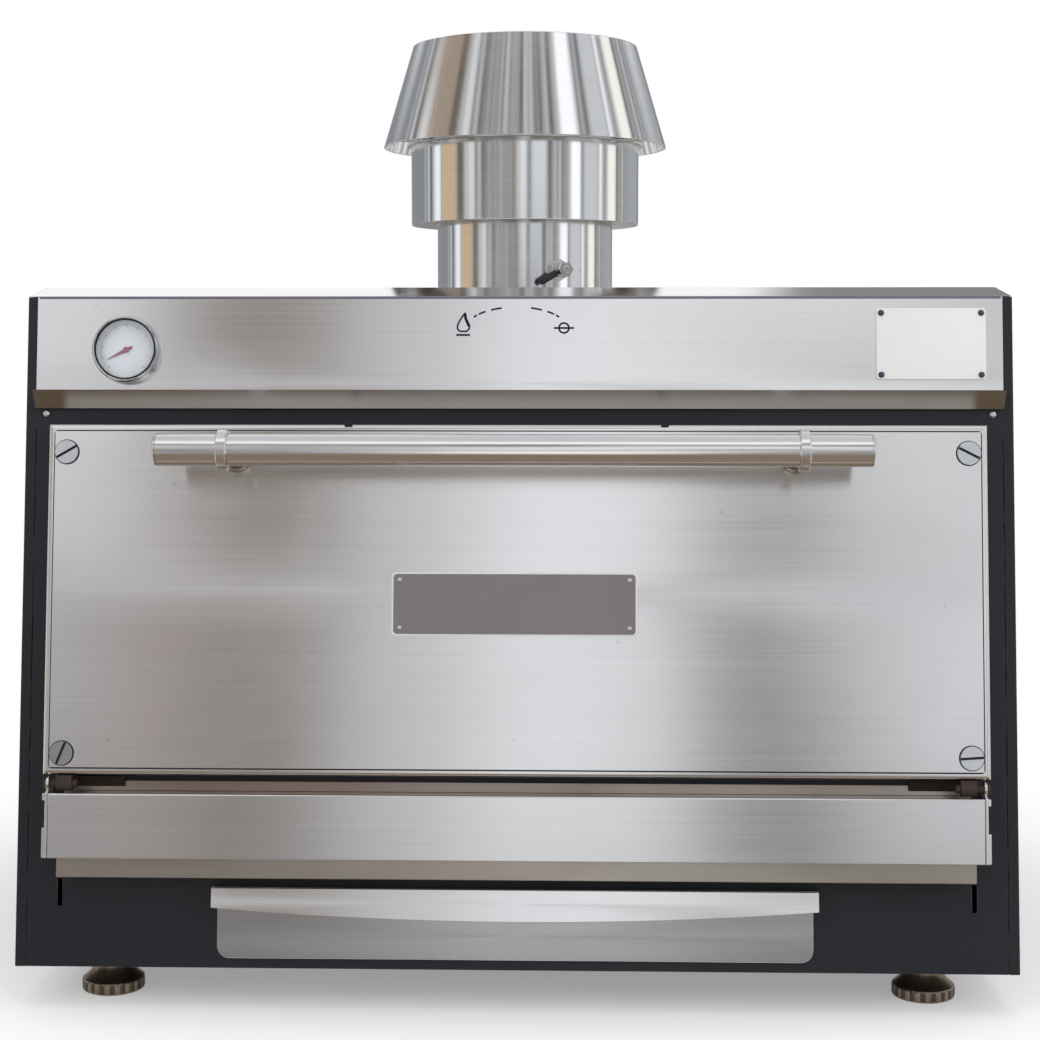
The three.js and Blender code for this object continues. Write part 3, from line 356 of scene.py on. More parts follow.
def sooty(name, tone, soot_tone, roughness, metallic=1.0, amount=1.0, casting=False):
    """Heat-darkened metal under soot; a casting also has a pitted skin."""
    material, wiring, shader = start_material(name)
    place = wiring.object_place()
    smoke = use_group(wiring, soot, Amount=amount)
    clouds = wiring.noise(place, (8, 8, 8), detail=4.0)
    base = wiring.mix(clouds, tone, tuple(0.7 * part for part in tone[:3]) + (1,))
    colour = wiring.mix(smoke["Cover"], base, soot_tone)
    rough = wiring.math("ADD", roughness, wiring.math("MULTIPLY", smoke["Cover"], 0.35), clamp=True)
    metal = wiring.math("MULTIPLY", metallic, wiring.math("SUBTRACT", 1.0, smoke["Cover"]))
    pits = wiring.noise(place, (1, 1, 1), scale=260.0, detail=5.0) if casting else smoke["Height"]
    drive(wiring, shader, colour, rough, metal, height=pits, depth=0.0006 if casting else 0.0002)
    return material


def fibre_blanket(name, tone):
    """A matted ceramic blanket with soft lumps and loose fibres."""
    material, wiring, shader = start_material(name, Roughness=1.0, Sheen_Weight=0.3)
    place = wiring.object_place()
    lumps = wiring.noise(place, (1, 1, 1), scale=35.0, detail=5.0)
    threads = wiring.noise(place, (1, 1, 1), scale=380.0, detail=4.0)
    shade = wiring.scaled(tone, wiring.remap(lumps, 0.3, 0.7, 0.8, 1.05, smooth=False))
    height = wiring.math("ADD", lumps, wiring.math("MULTIPLY", threads, 0.3))
    drive(wiring, shader, shade, height=height, depth=0.003)
    return material


def braided_rope(name, tone):
    """A braided glass rope, darkened by smoke."""
    material, wiring, shader = start_material(name, Roughness=0.95)
    place = wiring.object_place()
    waves = []
    for turn in (-math.pi / 4, math.pi / 4):
        turned_place = wiring.node(
            "ShaderNodeMapping", {"Vector": place, "Rotation": (0, turn, 0)},
        ).outputs[0]
        wave = wiring.node(
            "ShaderNodeTexWave", {"Vector": turned_place, "Scale": 110.0}, bands_direction="X",
        )
        waves.append(wave.outputs["Fac"])
    braid = wiring.math("MAXIMUM", *waves)
    stain = wiring.noise(place, (9, 9, 9), detail=4.0)
    colour = wiring.scaled(tone, wiring.remap(stain, 0.3, 0.7, 0.45, 1.1, smooth=False))
    drive(wiring, shader, colour, height=braid, depth=0.0008)
    return material


def enamel(name, tone, roughness, speckle=0.05):
    """A satin painted plate with a faint orange peel and dust."""
    material, wiring, shader = start_material(name, Metallic=0.0)
    place = wiring.object_place()
    clouds = wiring.noise(place, (9, 9, 9), detail=5.0)
    shade = wiring.remap(clouds, 0.3, 0.7, 1 - speckle, 1 + speckle, smooth=False)
    colour = wiring.scaled(tone, shade)
    rough = wiring.remap(clouds, 0.3, 0.7, roughness, roughness + 0.12, smooth=False)
    skin = wiring.noise(place, (1, 1, 1), scale=1200.0)
    drive(wiring, shader, colour, rough, height=skin, depth=0.00003)
    return material


def clear_glass(name):
    """Glass that lets lamp light and soft light through to what lies behind it."""
    material, wiring, shader = start_material(name, Metallic=0.0, Transmission_Weight=1.0, IOR=1.45)
    haze = wiring.noise(wiring.object_place(), (40, 40, 40), detail=4.0)
    rough = wiring.remap(haze, 0.45, 0.75, 0.02, 0.09)
    drive(wiring, shader, roughness=rough)
    clear = wiring.node("ShaderNodeBsdfTransparent", {"Color": grey(0.96)}).outputs[0]
    rays = wiring.node("ShaderNodeLightPath").outputs
    soft = wiring.math("MAXIMUM", rays["Is Shadow Ray"], rays["Is Diffuse Ray"])
    seen = wiring.node("ShaderNodeMixShader", {0: soft, 1: shader.outputs[0], 2: clear}).outputs[0]
    wiring.join(seen, material.node_tree.nodes["Material Output"].inputs["Surface"])
    return material


# How fine the lines of each finish are along x, y and z
across = (5, 380, 380)
round_about = (40, 40, 700)
lathe_lines = (60, 60, 600)
turned_small = (120, 120, 120)
mottled = (20, 20, 20)

front_steel = steel(
    "front steel", grey(0.80, 0.004), 0.15, across, anisotropic=0.8, depth=0.000012, dulled=0.03,
)
lid_steel = steel("lid steel", grey(0.80, 0.004), 0.10, across, depth=0.000006, dulled=0.04)
# Brown steel for the strip under the ledge: painted reflection of the floor
strip_painted_reflection_steel = steel(
    "trim steel with painted brown reflection", (0.46, 0.42, 0.37, 1), 0.26, across, anisotropic=0.6, depth=0.000008,
    tint=(0.56, 0.52, 0.47, 1),
)
# Darker brown steel for painted shade and painted reflection of the floor, on the fascia's lip and the handle
# posts' feet
painted_shade_steel = steel(
    "steel with painted brown shade", (0.33, 0.295, 0.26, 1), 0.26, across, anisotropic=0.6, depth=0.000008,
    tint=(0.43, 0.40, 0.365, 1),
)
# Brown steel for the ledge's upstand, darker than the front steel
shelf_steel = steel(
    "brown shelf steel", (0.48, 0.42, 0.37, 1), 0.34, across, dulled=0.1,
    tint=(0.36, 0.28, 0.235, 1),
)
flue_steel = steel("flue steel", grey(0.82, -0.01), 0.11, round_about, anisotropic=0.5, depth=0.00001)
# Brown steel for the flue's undersides: painted shade and painted reflection of the floor
underside_painted_shade_steel = steel(
    "steel with painted brown underside shade", (0.30, 0.235, 0.165, 1), 0.3, mottled, tint=(0.22, 0.18, 0.15, 1),
)
handle_steel = steel("handle steel", grey(0.82, 0.01), 0.16, (8, 500, 500), depth=0.00001)
fitting_steel = steel("fitting steel", grey(0.78), 0.2, turned_small, depth=0.00001)
# The front steel made darker for the ash drawer: painted shade
drawer_painted_shade_steel = steel(
    "drawer steel with painted shade", grey(0.575, -0.01), 0.18, across, anisotropic=0.7, depth=0.000012,
)
bezel_steel = steel("bezel steel", grey(0.60, -0.01), 0.08, turned_small, depth=0.000005)
foot_steel = steel("foot steel", (0.34, 0.275, 0.21, 1), 0.3, lathe_lines)
# Dark blue-grey steel for the notice plate's screws
dark_screw_steel = steel("dark blue-grey screw steel", (0.10, 0.125, 0.17, 1), 0.25, turned_small, depth=0.000005)
# Dark steel for painted shade on the feet's knurl
knurl_painted_shade_steel = steel("knurl shade", (0.13, 0.10, 0.08, 1), 0.35, lathe_lines)
mill_steel = steel("mill steel", grey(0.60), 0.38, mottled, depth=0.00003, dulled=0.15)
body_paint = powder_coat("charcoal powder coat", (0.0125, 0.0137, 0.0195, 1), (0.10, 0.10, 0.105, 1))
chamber_steel = sooty("smoked chamber steel", (0.34, 0.30, 0.26, 1), (0.025, 0.023, 0.021, 1), 0.42)
grid_steel = sooty("grid steel", (0.42, 0.38, 0.33, 1), (0.05, 0.045, 0.04, 1), 0.32, amount=0.6)
grate_iron = sooty("grate iron", (0.06, 0.055, 0.05, 1), (0.02, 0.019, 0.018, 1), 0.7, 0.5, casting=True)
blanket_fibre = fibre_blanket("ceramic fibre", (0.80, 0.76, 0.68, 1))
seal_rope = braided_rope("seal rope", (0.12, 0.118, 0.11, 1))
badge_enamel = enamel("badge enamel", (0.165, 0.150, 0.148, 1), 0.38)
badge_rim_enamel = enamel("badge rim enamel", (0.62, 0.61, 0.60, 1), 0.35)
notice_enamel = enamel("notice enamel", (0.66, 0.66, 0.655, 1), 0.36)
mark_ink = enamel("mark ink", (0.010, 0.008, 0.040, 1), 0.7, speckle=0.2)
dial_card = enamel("dial card", (0.80, 0.84, 0.90, 1), 0.5, speckle=0.02)
dial_ink = enamel("dial ink", (0.30, 0.31, 0.40, 1), 0.5)
pointer_paint = enamel("pointer paint", (0.34, 0.10, 0.17, 1), 0.4)
lever_black = enamel("lever black", (0.012, 0.012, 0.014, 1), 0.28)
# Black for the gauge's seal ring and the rim clips, and for painted shadow round the door's skin and screws
seal_and_shadow_black = enamel("black for seals and painted shadow", (0.010, 0.010, 0.013, 1), 0.6)
# Grey for a dark strip of painted shadow where the lid meets the fascia
shadow_gap_grey = enamel("seam shade", (0.13, 0.12, 0.165, 1), 0.6)
hinge_brown = sooty("hinge iron", (0.10, 0.065, 0.05, 1), (0.03, 0.02, 0.018, 1), 0.5, 0.7)
lens_glass = clear_glass("lens glass")

material_of_slot = {
    "painted_black": body_paint,
    "brushed_steel": front_steel,
    "polished_steel": fitting_steel,
    "galvanised": mill_steel,
    "cast_iron": grate_iron,
    "sooty_steel": chamber_steel,
    "fibre": blanket_fibre,
    "rope": seal_rope,
    "badge_grey": badge_enamel,
    "notice_white": notice_enamel,
    "dial_white": dial_card,
    "pointer_red": pointer_paint,
    "lever_black": lever_black,
    "clear_glass": lens_glass,
}
material_of_node = {
    "ledge_under_strip": strip_painted_reflection_steel,
    "ash_drawer_front": drawer_painted_shade_steel,
    "top_lid": lid_steel,
    "hinge_pin_left": hinge_brown,
    "hinge_pin_right": hinge_brown,
    "door_knuckle_left": hinge_brown,
    "door_knuckle_right": hinge_brown,
}
slot_of_node = {entry["node"]: entry["material_slot"] for entry in frame["record"]["subparts"]}
body_of_node = {
    node: body for body, members in frame["record"]["behaviour"]["bodies"].items() for node in members
}


def look_of(node):
    return material_of_node.get(node, material_of_slot[slot_of_node[node]])


# Making pieces


def finish_piece(name, mesh, material, body, replaced=(), sharp=30, edge=0.0):
    """Puts a finished mesh in the scene, rounds its edges and ties it to its body."""
    if material is not None:
        mesh.materials.clear()
        mesh.materials.append(material)
    mesh.polygons.foreach_set("use_smooth", [True] * len(mesh.polygons))
    mesh.set_sharp_from_angle(angle=math.radians(sharp))
    piece = bpy.data.objects.new(name, mesh)
    bpy.context.scene.collection.objects.link(piece)
    if edge:
        bevel = piece.modifiers.new("rounded edges", "BEVEL")
        bevel.width = edge
        bevel.segments = 2
        bevel.limit_method = "ANGLE"
        bevel.angle_limit = math.radians(sharp)
        flat = piece.modifiers.new("flat faces stay flat", "WEIGHTED_NORMAL")
        flat.keep_sharp = True
    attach(piece, body)
    if replaced:
        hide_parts(*replaced)
    return piece


def dress_faces(piece, material, chosen):
    """Gives a second material to the faces that a test of their centre and normal picks."""
    piece.data.materials.append(material)
    for face in piece.data.polygons:
        if chosen(face.center, face.normal):
            face.material_index = 1


def mesh_from(shape, name):
    bmesh.ops.recalc_face_normals(shape, faces=shape.faces)
    mesh = bpy.data.meshes.new(name)
    shape.to_mesh(mesh)
    shape.free()
    return mesh


def stand_in(node, shape, material, ending="_smooth", sharp=30, edge=0.0):
    """Finishes a bmesh as the piece that stands for a CAD node."""
    name = node + ending
    return finish_piece(
        name, mesh_from(shape, name), material, body_of_node[node], (node,),
        sharp=sharp, edge=edge,
    )


def extra_piece(name, shape, material, node, edge=0.0):
    """Finishes a bmesh as a piece of its own, with the body of the CAD node it sits on."""
    return finish_piece(
        name, mesh_from(shape, name), material, body_of_node[node], edge=edge,
    )


def bend_edges(shape, radius, chosen):
    """Rounds the outer side of a sheet's bends: the edges whose two ends are chosen."""
    folds = [
        edge for edge in shape.edges if all(chosen(into_front @ vertex.co) for vertex in edge.verts)
    ]
    bmesh.ops.bevel(
        shape, geom=folds, offset=radius, offset_type="OFFSET", segments=5, profile=0.5, affect="EDGES",
        clamp_overlap=True,
    )


def fine_copy(node, edge, bend=None):
    """A merged copy of a CAD node with small rounded edges, which stands for it.

    bend is a radius with a test that picks the outer corners of the sheet's bends.
    """
    shape = bmesh.new()
    shape.from_mesh(frame["nodes"][node].data)
    bmesh.ops.remove_doubles(shape, verts=shape.verts, dist=0.00002)
    bmesh.ops.dissolve_limit(
        shape, angle_limit=math.radians(0.5), verts=shape.verts, edges=shape.edges,
    )
    if bend is not None:
        bend_edges(shape, *bend)
    return stand_in(node, shape, look_of(node), "_fine", edge=edge)


def join_rings(shape, rings, closed=True):
    """Adds the faces between neighbouring rings of vertices, closed also from last to first."""
    following = rings[1:] + rings[:1] if closed else rings[1:]
    for low, high in zip(rings, following):
        for i in range(len(low)):
            j = (i + 1) % len(low)
            corners = list(dict.fromkeys([low[i], low[j], high[j], high[i]]))
            if len(corners) > 2:
                shape.faces.new(corners)


def spin(shape, profile, sides, place=Matrix()):
    """Adds a profile of (radius, height) spun round z to a mesh; radius 0 closes it on the axis."""
    angles = [full_turn * i / sides for i in range(sides)]
    rings = []
    for radius, height in profile:
        if radius == 0:
            rings.append([shape.verts.new(place @ Vector((0, 0, height)))] * sides)
        else:
            rings.append([
                shape.verts.new(place @ Vector((radius * math.cos(a), radius * math.sin(a), height)))
                for a in angles
            ])
    join_rings(shape, rings, closed=profile[0][0] > 0)


def slab(shape, outline, low, high, place=Matrix()):
    """Adds a flat outline of (x, y), thick from low to high, to a mesh."""
    bottom = [shape.verts.new(place @ Vector((x, y, low))) for x, y in outline]
    top = [shape.verts.new(place @ Vector((x, y, high))) for x, y in outline]
    shape.faces.new(bottom[::-1])
    shape.faces.new(top)
    for i in range(len(outline)):
        j = (i + 1) % len(outline)
        shape.faces.new([bottom[i], bottom[j], top[j], top[i]])


def rectangle(left, low, right, high):
    return [(left, low), (right, low), (right, high), (left, high)]


def rounded_outline(left, low, right, high, radius, steps=8):
    """A rectangle with round corners, as (x, y) points."""
    points = []
    for cx, cy, start in (
        (right - radius, low + radius, -90), (right - radius, high - radius, 0),
        (left + radius, high - radius, 90), (left + radius, low + radius, 180),
    ):
        for i in range(steps + 1):
            angle = math.radians(start + 90 * i / steps)
            points.append((cx + radius * math.cos(angle), cy + radius * math.sin(angle)))
    return points


def front_slab(name, outline, back, front, material, body="cabinet", replaced=(), edge=0.0):
    shape = bmesh.new()
    slab(shape, outline, back, front, plate_space)
    return finish_piece(name, mesh_from(shape, name), material, body, replaced, edge=edge)


# Sheet pieces keep the CAD shape and get edges rounded by so many millimetres

sheet_edges = {
    "side_panel_left": 1.2, "side_panel_right": 1.2, "back_panel": 0.8, "base_plate": 0.8,
    "front_frame": 0.8, "top_lid": 0.9, "fascia": 0.5, "front_ledge": 0.6, "ledge_under_strip": 0.5,
    "hinge_bracket_left": 0.5, "hinge_bracket_right": 0.5, "hinge_pin_left": 0.5,
    "hinge_pin_right": 0.5, "door_knuckle_left": 0.4, "door_knuckle_right": 0.4, "door_pan": 0.6,
    "door_skin": 0.7, "door_inner_panel": 0.6, "oven_liner": 0.8, "fire_grate_left": 1.5,
    "fire_grate_right": 1.5, "rack_rail_left": 0.5, "rack_rail_right": 0.5, "ash_drawer_front": 0.6,
    "ash_drawer_tray": 0.5, "drawer_runner_left": 0.5, "drawer_runner_right": 0.5,
    "notice_plate": 0.35, "damper_boss": 0.6, "damper_plate": 0.4, "gauge_pointer": 0.15,
}
lip_top = 527 * mm
ledge_low, ledge_high = in_front_space("front_ledge")
pan_low, pan_high = in_front_space("door_pan")
close = 0.2 * mm


def on_ledge_corner(place):
    return place.y < ledge_low.y + close and place.z > ledge_high.z - close


def on_pan_rim(place):
    out = place.y < pan_low.y + close
    beside = min(place.x - pan_low.x, pan_high.x - place.x) < close
    return out and (beside or min(place.z - pan_low.z, pan_high.z - place.z) < close)


# The fascia's outward faces below the lip's top, which get painted shade
def on_lip(centre, normal):
    return (into_front @ centre).z < lip_top and (into_front.to_3x3() @ normal).y < -0.2


bends = {"front_ledge": (1.6 * mm, on_ledge_corner), "door_pan": (4.5 * mm, on_pan_rim)}
sheets = {
    node: fine_copy(node, edge * mm, bend=bends.get(node)) for node, edge in sheet_edges.items()
}
# The fascia's lip is darker brown: painted shade and painted reflection of the floor
dress_faces(sheets["fascia"], painted_shade_steel, on_lip)
for node in ("insulation_blanket", "door_insulation"):
    frame["nodes"][node].material_slots[0].material = look_of(node)


# The flue: smooth turned pieces round its axis

flue_low, flue_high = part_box("flue_pipe")
flue_sheet = 2 * mm
flue_sides = 128
around_flue = Matrix.Translation(upright_centre("flue_pipe"))
slip_gap = 0.3 * mm


def turned(node, profile, material, sides=flue_sides, place=around_flue, edge=0.0):
    shape = bmesh.new()
    spin(shape, profile, sides, place)
    return stand_in(node, shape, material, edge=edge)


def half_width(node):
    low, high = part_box(node)
    return (high.x - low.x) / 2


def looks_down(centre, normal):
    """The undersides, which get brown steel as painted shade and painted reflection of the floor."""
    return normal.z < -0.9


def flue_pieces():
    pipe = half_width("flue_pipe")
    turned("flue_pipe", [
        (pipe - flue_sheet, flue_low.z), (pipe, flue_low.z),
        (pipe, flue_high.z), (pipe - flue_sheet, flue_high.z),
    ], flue_steel, edge=0.5 * mm)

    low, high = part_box("flue_spigot")
    flange = half_width("flue_spigot")
    sleeve = pipe - flue_sheet - slip_gap
    turned("flue_spigot", [
        (sleeve - flue_sheet, low.z), (flange, low.z), (flange, low.z + flue_sheet),
        (sleeve, low.z + flue_sheet), (sleeve, high.z), (sleeve - flue_sheet, high.z),
    ], mill_steel, edge=0.4 * mm)

    low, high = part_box("firebreak_drum")
    drum = half_width("firebreak_drum")
    smooth = turned("firebreak_drum", [
        (pipe + slip_gap, low.z), (drum, low.z), (drum, high.z), (drum - flue_sheet, high.z),
        (drum - flue_sheet, low.z + flue_sheet), (pipe + slip_gap, low.z + flue_sheet),
    ], flue_steel, edge=0.8 * mm)
    # The drum's underside gets painted shade
    dress_faces(smooth, underside_painted_shade_steel, looks_down)


def three_arms(shape, root, reach, half, low, high):
    """Adds three flat arms round the flue's axis, one of them to the back."""
    for i in range(3):
        turn = around_flue @ Matrix.Rotation(full_turn * (i / 3 + 0.25), 4, "Z")
        slab(shape, rectangle(root, -half, reach, half), low, high, turn)


def flue_hat():
    """The open cone with the ring and three arms that carry it on the drum."""
    low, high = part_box("flue_hat")
    brim = half_width("flue_hat")
    crown = 118 * mm
    drum = half_width("firebreak_drum")
    ring = drum + 4.3 * mm
    arm_low = low.z + 1.5 * mm
    arm_high = arm_low + 3 * mm
    shape = bmesh.new()
    spin(shape, [
        (brim - flue_sheet, low.z), (brim, low.z), (crown, high.z), (crown - flue_sheet, high.z),
    ], flue_sides, around_flue)
    spin(shape, [
        (drum + slip_gap, arm_low), (ring, arm_low), (ring, arm_high), (drum + slip_gap, arm_high),
    ], flue_sides, around_flue)
    three_arms(shape, ring - mm, brim - 2.6 * mm, 8 * mm, arm_low, arm_high)
    hat = stand_in("flue_hat", shape, flue_steel, edge=0.8 * mm)
    # The hat's undersides get painted shade
    dress_faces(hat, underside_painted_shade_steel, looks_down)


def spark_arrestor():
    """The disc in the drum, on three arms."""
    low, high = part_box("spark_arrestor")
    disc = 84 * mm
    reach = half_width("firebreak_drum") - 2.7 * mm
    shape = bmesh.new()
    spin(shape, [(0, low.z), (disc, low.z), (disc, high.z), (0, high.z)], 96, around_flue)
    three_arms(shape, disc - 2 * mm, reach, 7.5 * mm, low.z + 0.1 * mm, high.z - 0.1 * mm)
    stand_in("spark_arrestor", shape, mill_steel, edge=0.4 * mm)


flue_pieces()
flue_hat()
spark_arrestor()


# The damper's shaft and lever, along its own axis

damper_turn = joint_named("damper_turn")
damper_out = -Vector(damper_turn["axis"])
damper_centre = Vector(damper_turn["pos_m"])


def space_along(place, way):
    """Axes at a place, with z along a way."""
    return Matrix.Translation(place) @ way.to_track_quat("Z", "Y").to_matrix().to_4x4()


along_damper = space_along(damper_centre, damper_out)


def damper_shaft():
    pipe = half_width("flue_pipe")
    radius = 4.5 * mm
    chamfer = 0.5 * mm
    end = pipe + 27 * mm
    turned("damper_shaft", [
        (0, -pipe), (radius - chamfer, -pipe), (radius, -pipe + chamfer), (radius, end - chamfer),
        (radius - chamfer, end), (0, end),
    ], mill_steel, sides=32, place=along_damper)


def damper_lever():
    """A bright hexagonal hub on the shaft's end, with a black lever that ends round."""
    pipe = half_width("flue_pipe")
    root = pipe + 11.9 * mm
    outer = pipe + 28.8 * mm
    hub = 8 * mm
    cap = 4.5 * mm
    shape = bmesh.new()
    spin(shape, [
        (0, root), (hub - 0.5 * mm, root), (hub, root + 0.8 * mm), (hub, root + 6.5 * mm),
        (0, root + 6.5 * mm),
    ], 48, along_damper)
    corners = [(hub * math.cos(full_turn * i / 6), hub * math.sin(full_turn * i / 6)) for i in range(6)]
    slab(shape, corners, root + 6.6 * mm, outer - 2.4 * mm, along_damper)
    spin(shape, [
        (0, outer - 2.3 * mm), (cap, outer - 2.3 * mm), (cap, outer - 0.8 * mm),
        (cap - 1.1 * mm, outer), (0, outer),
    ], 32, along_damper)
    finish_piece(
        "damper_hub_smooth", mesh_from(shape, "damper_hub_smooth"), bezel_steel, "damper",
        edge=0.5 * mm,
    )
    reaches = []
    for vertex in frame["nodes"]["damper_lever"].data.vertices:
        reach = vertex.co - damper_centre
        reaches.append(reach - damper_out * reach.dot(damper_out))
    tip = max(reaches, key=lambda reach: reach.length)
    radius = 4 * mm
    length = tip.length - radius * 0.15
    start = damper_centre + damper_out * (root + 3.4 * mm)
    end = length - radius
    rounding = [(radius * math.cos(a), end + radius * math.sin(a)) for a in (0, 0.4, 0.8, 1.2)]
    shape = bmesh.new()
    spin(shape, [
        (0, 5.4 * mm), (radius * 0.85, 5.4 * mm), *rounding, (0, end + radius),
    ], 32, space_along(start, tip))
    stand_in("damper_lever", shape, lever_black)


damper_shaft()
damper_lever()


# The door handle

handle_low, handle_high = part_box("handle_tube")
handle_middle = (handle_low + handle_high) / 2
handle_radius = (handle_high.z - handle_low.z) / 2
along_handle = Matrix.Translation(handle_middle) @ lying_across


def door_handle():
    half = handle_high.x
    turned("handle_tube", [
        (handle_radius - 1.5 * mm, -half), (handle_radius, -half), (handle_radius, half),
        (handle_radius - 1.5 * mm, half),
    ], handle_steel, sides=96, place=along_handle, edge=0.3 * mm)
    for side, node in ((-1, "handle_cap_left"), (1, "handle_cap_right")):
        way = along_handle @ Matrix.Scale(side, 4, up_axis)
        end = half + 0.3 * mm
        spigot = handle_radius - 1.8 * mm
        turned(node, [
            (0, end - 12 * mm), (spigot, end - 12 * mm), (spigot, end), (handle_radius, end),
            (handle_radius, end + mm), (handle_radius - 0.5 * mm, end + 1.6 * mm),
            (handle_radius - 1.3 * mm, end + 2 * mm), (0, end + 2 * mm),
        ], handle_steel, sides=96, place=way)


def handle_posts():
    """Flanged posts whose rings hold the tube; their feet are painted a darker brown, as painted shadow under the
    tube.
    """
    skin_front = in_front_space("door_skin")[0].y
    ring_outer = 18 * mm
    ring_half = 4.5 * mm
    soft = 0.8 * mm
    for node in ("handle_post_left", "handle_post_right"):
        x = upright_centre(node).x
        middle = Vector((x, handle_middle.y, handle_middle.z))
        seat = into_front @ middle
        root = -skin_front + 0.3 * mm
        foot_end = root + 6 * mm
        stop = -seat.y - handle_radius - 1.5 * mm
        shape = bmesh.new()
        spin(shape, [
            (0, root), (13.5 * mm, root), (13.5 * mm, root + 2.2 * mm), (12.8 * mm, root + 3 * mm),
            (10.5 * mm, root + 3.6 * mm), (9 * mm, root + 5.4 * mm), (9 * mm, stop), (0, stop),
        ], 64, space_at(x, seat.z))
        inner = handle_radius + 0.3 * mm
        spin(shape, [
            (inner, -ring_half), (ring_outer - soft, -ring_half), (ring_outer, -ring_half + soft),
            (ring_outer, ring_half - soft), (ring_outer - soft, ring_half), (inner, ring_half),
        ], 96, Matrix.Translation(middle) @ lying_across)
        post = stand_in(node, shape, handle_steel)

        def on_foot(centre, normal, end=foot_end):
            return -(into_front @ centre).y < end

        # Painted shadow: the posts' feet get the darker brown steel
        dress_faces(post, painted_shade_steel, on_foot)


door_handle()
handle_posts()


# The thermometer

gauge_place = into_front @ Vector(joint_named("pointer_turn")["pos_m"])
gauge_space = space_at(gauge_place.x, gauge_place.z)
gauge_back = 2.1 * mm
gauge_radius = 31 * mm
gauge_front = gauge_back + 12 * mm


def thermometer():
    wall = gauge_radius - 2.4 * mm
    stem_end = gauge_back - 110 * mm
    turned("gauge_case", [
        (0, stem_end), (3.4 * mm, stem_end), (4 * mm, stem_end + mm), (4 * mm, gauge_back),
        (gauge_radius - 0.8 * mm, gauge_back), (gauge_radius, gauge_back + 0.8 * mm),
        (gauge_radius, gauge_front - 2.6 * mm), (gauge_radius - 0.5 * mm, gauge_front - 1.1 * mm),
        (gauge_radius - 1.2 * mm, gauge_front - 0.25 * mm), (gauge_radius - 1.9 * mm, gauge_front),
        (wall, gauge_front - 0.4 * mm), (wall, gauge_back + 2 * mm), (0, gauge_back + 2 * mm),
    ], bezel_steel, sides=96, place=gauge_space)
    face = wall - 0.3 * mm
    dial = gauge_back + 2.3 * mm
    turned("gauge_dial", [
        (0, dial), (face, dial), (face, dial + mm), (0, dial + mm),
    ], dial_card, sides=96, place=gauge_space)
    lens_back = gauge_front - 2.8 * mm
    turned("gauge_lens", [
        (0, lens_back), (face, lens_back), (face, lens_back + 1.2 * mm),
        (face * 0.7, lens_back + 1.7 * mm), (face * 0.35, lens_back + 1.93 * mm),
        (0, lens_back + 2 * mm),
    ], lens_glass, sides=96, place=gauge_space)
    shape = bmesh.new()
    seal_low = lens_back + 1.25 * mm
    spin(shape, [
        (face - 1.6 * mm, seal_low + 0.3 * mm), (face, seal_low), (face, seal_low + 0.9 * mm),
        (face - 1.2 * mm, seal_low + 0.9 * mm),
    ], 96, gauge_space)
    extra_piece("gauge_seal_ring", shape, seal_and_shadow_black, "gauge_case")


thermometer()


# Levelling feet with a knurled rim

foot_sides = 72
tooth_depth = 0.7 * mm
toothed_from = 28.2 * mm
shaded_from = 28 * mm

# Radius and height in millimetres: the rim, the swept neck, the collar and the stem
foot_profile = [
    (0, 0), (26.5, 0), (28.6, 0.6), (29, 1.8), (29, 10), (28.4, 11.2), (27.2, 11.8),
    (24, 14.6), (20.5, 18.4), (18.2, 22.4), (17, 25.5), (17, 39), (16.3, 39.7), (8, 39.7),
    (8, 87), (7, 88), (0, 88),
]


def levelling_feet():
    for node in ("foot_front_left", "foot_front_right", "foot_rear_left", "foot_rear_right"):
        centre = upright_centre(node)
        shape = bmesh.new()
        profile = [(radius * mm, height * mm) for radius, height in foot_profile]
        spin(shape, profile, foot_sides, Matrix.Translation(centre))
        for vertex in shape.verts:
            reach = vertex.co - centre
            step = round(math.atan2(reach.y, reach.x) * foot_sides / full_turn)
            if reach.xy.length > toothed_from and step % 2:
                vertex.co -= Vector((reach.x, reach.y, 0)).normalized() * tooth_depth
        foot = stand_in(node, shape, foot_steel, sharp=24)

        def in_shade(middle, normal, centre=centre):
            reach = middle - centre
            step = math.floor(math.atan2(reach.y, reach.x) * foot_sides / full_turn)
            return reach.xy.length > shaded_from and abs(normal.z) < 0.3 and step % 4 in (0, 3)

        # Every other pair of rim facets gets dark steel as painted shade
        dress_faces(foot, knurl_painted_shade_steel, in_shade)


levelling_feet()


# Geometry Nodes trees: fastener heads, dial ticks and the rods of the cooking grids


class GeometryTree(Wiring):
    """A Geometry Nodes tree with named inputs, which ends in Realize Instances and Set Material."""

    def __init__(self, name, **sizes):
        tree = bpy.data.node_groups.new(name, "GeometryNodeTree")
        super().__init__(tree)
        tree.interface.new_socket("Geometry", in_out="INPUT", socket_type="NodeSocketGeometry")
        for label, value in sizes.items():
            kind = "NodeSocketInt" if isinstance(value, int) else "NodeSocketFloat"
            socket = tree.interface.new_socket(label, in_out="INPUT", socket_type=kind)
            socket.default_value = value
        tree.interface.new_socket("Material", in_out="INPUT", socket_type="NodeSocketMaterial")
        tree.interface.new_socket("Geometry", in_out="OUTPUT", socket_type="NodeSocketGeometry")
        self.given = self.node("NodeGroupInput").outputs

    def end(self, geometry):
        real = self.node("GeometryNodeRealizeInstances", {"Geometry": geometry}).outputs[0]
        dressed = self.node(
            "GeometryNodeSetMaterial", {"Geometry": real, "Material": self.given["Material"]},
        ).outputs[0]
        self.node("NodeGroupOutput", {"Geometry": dressed})
        return self.tree


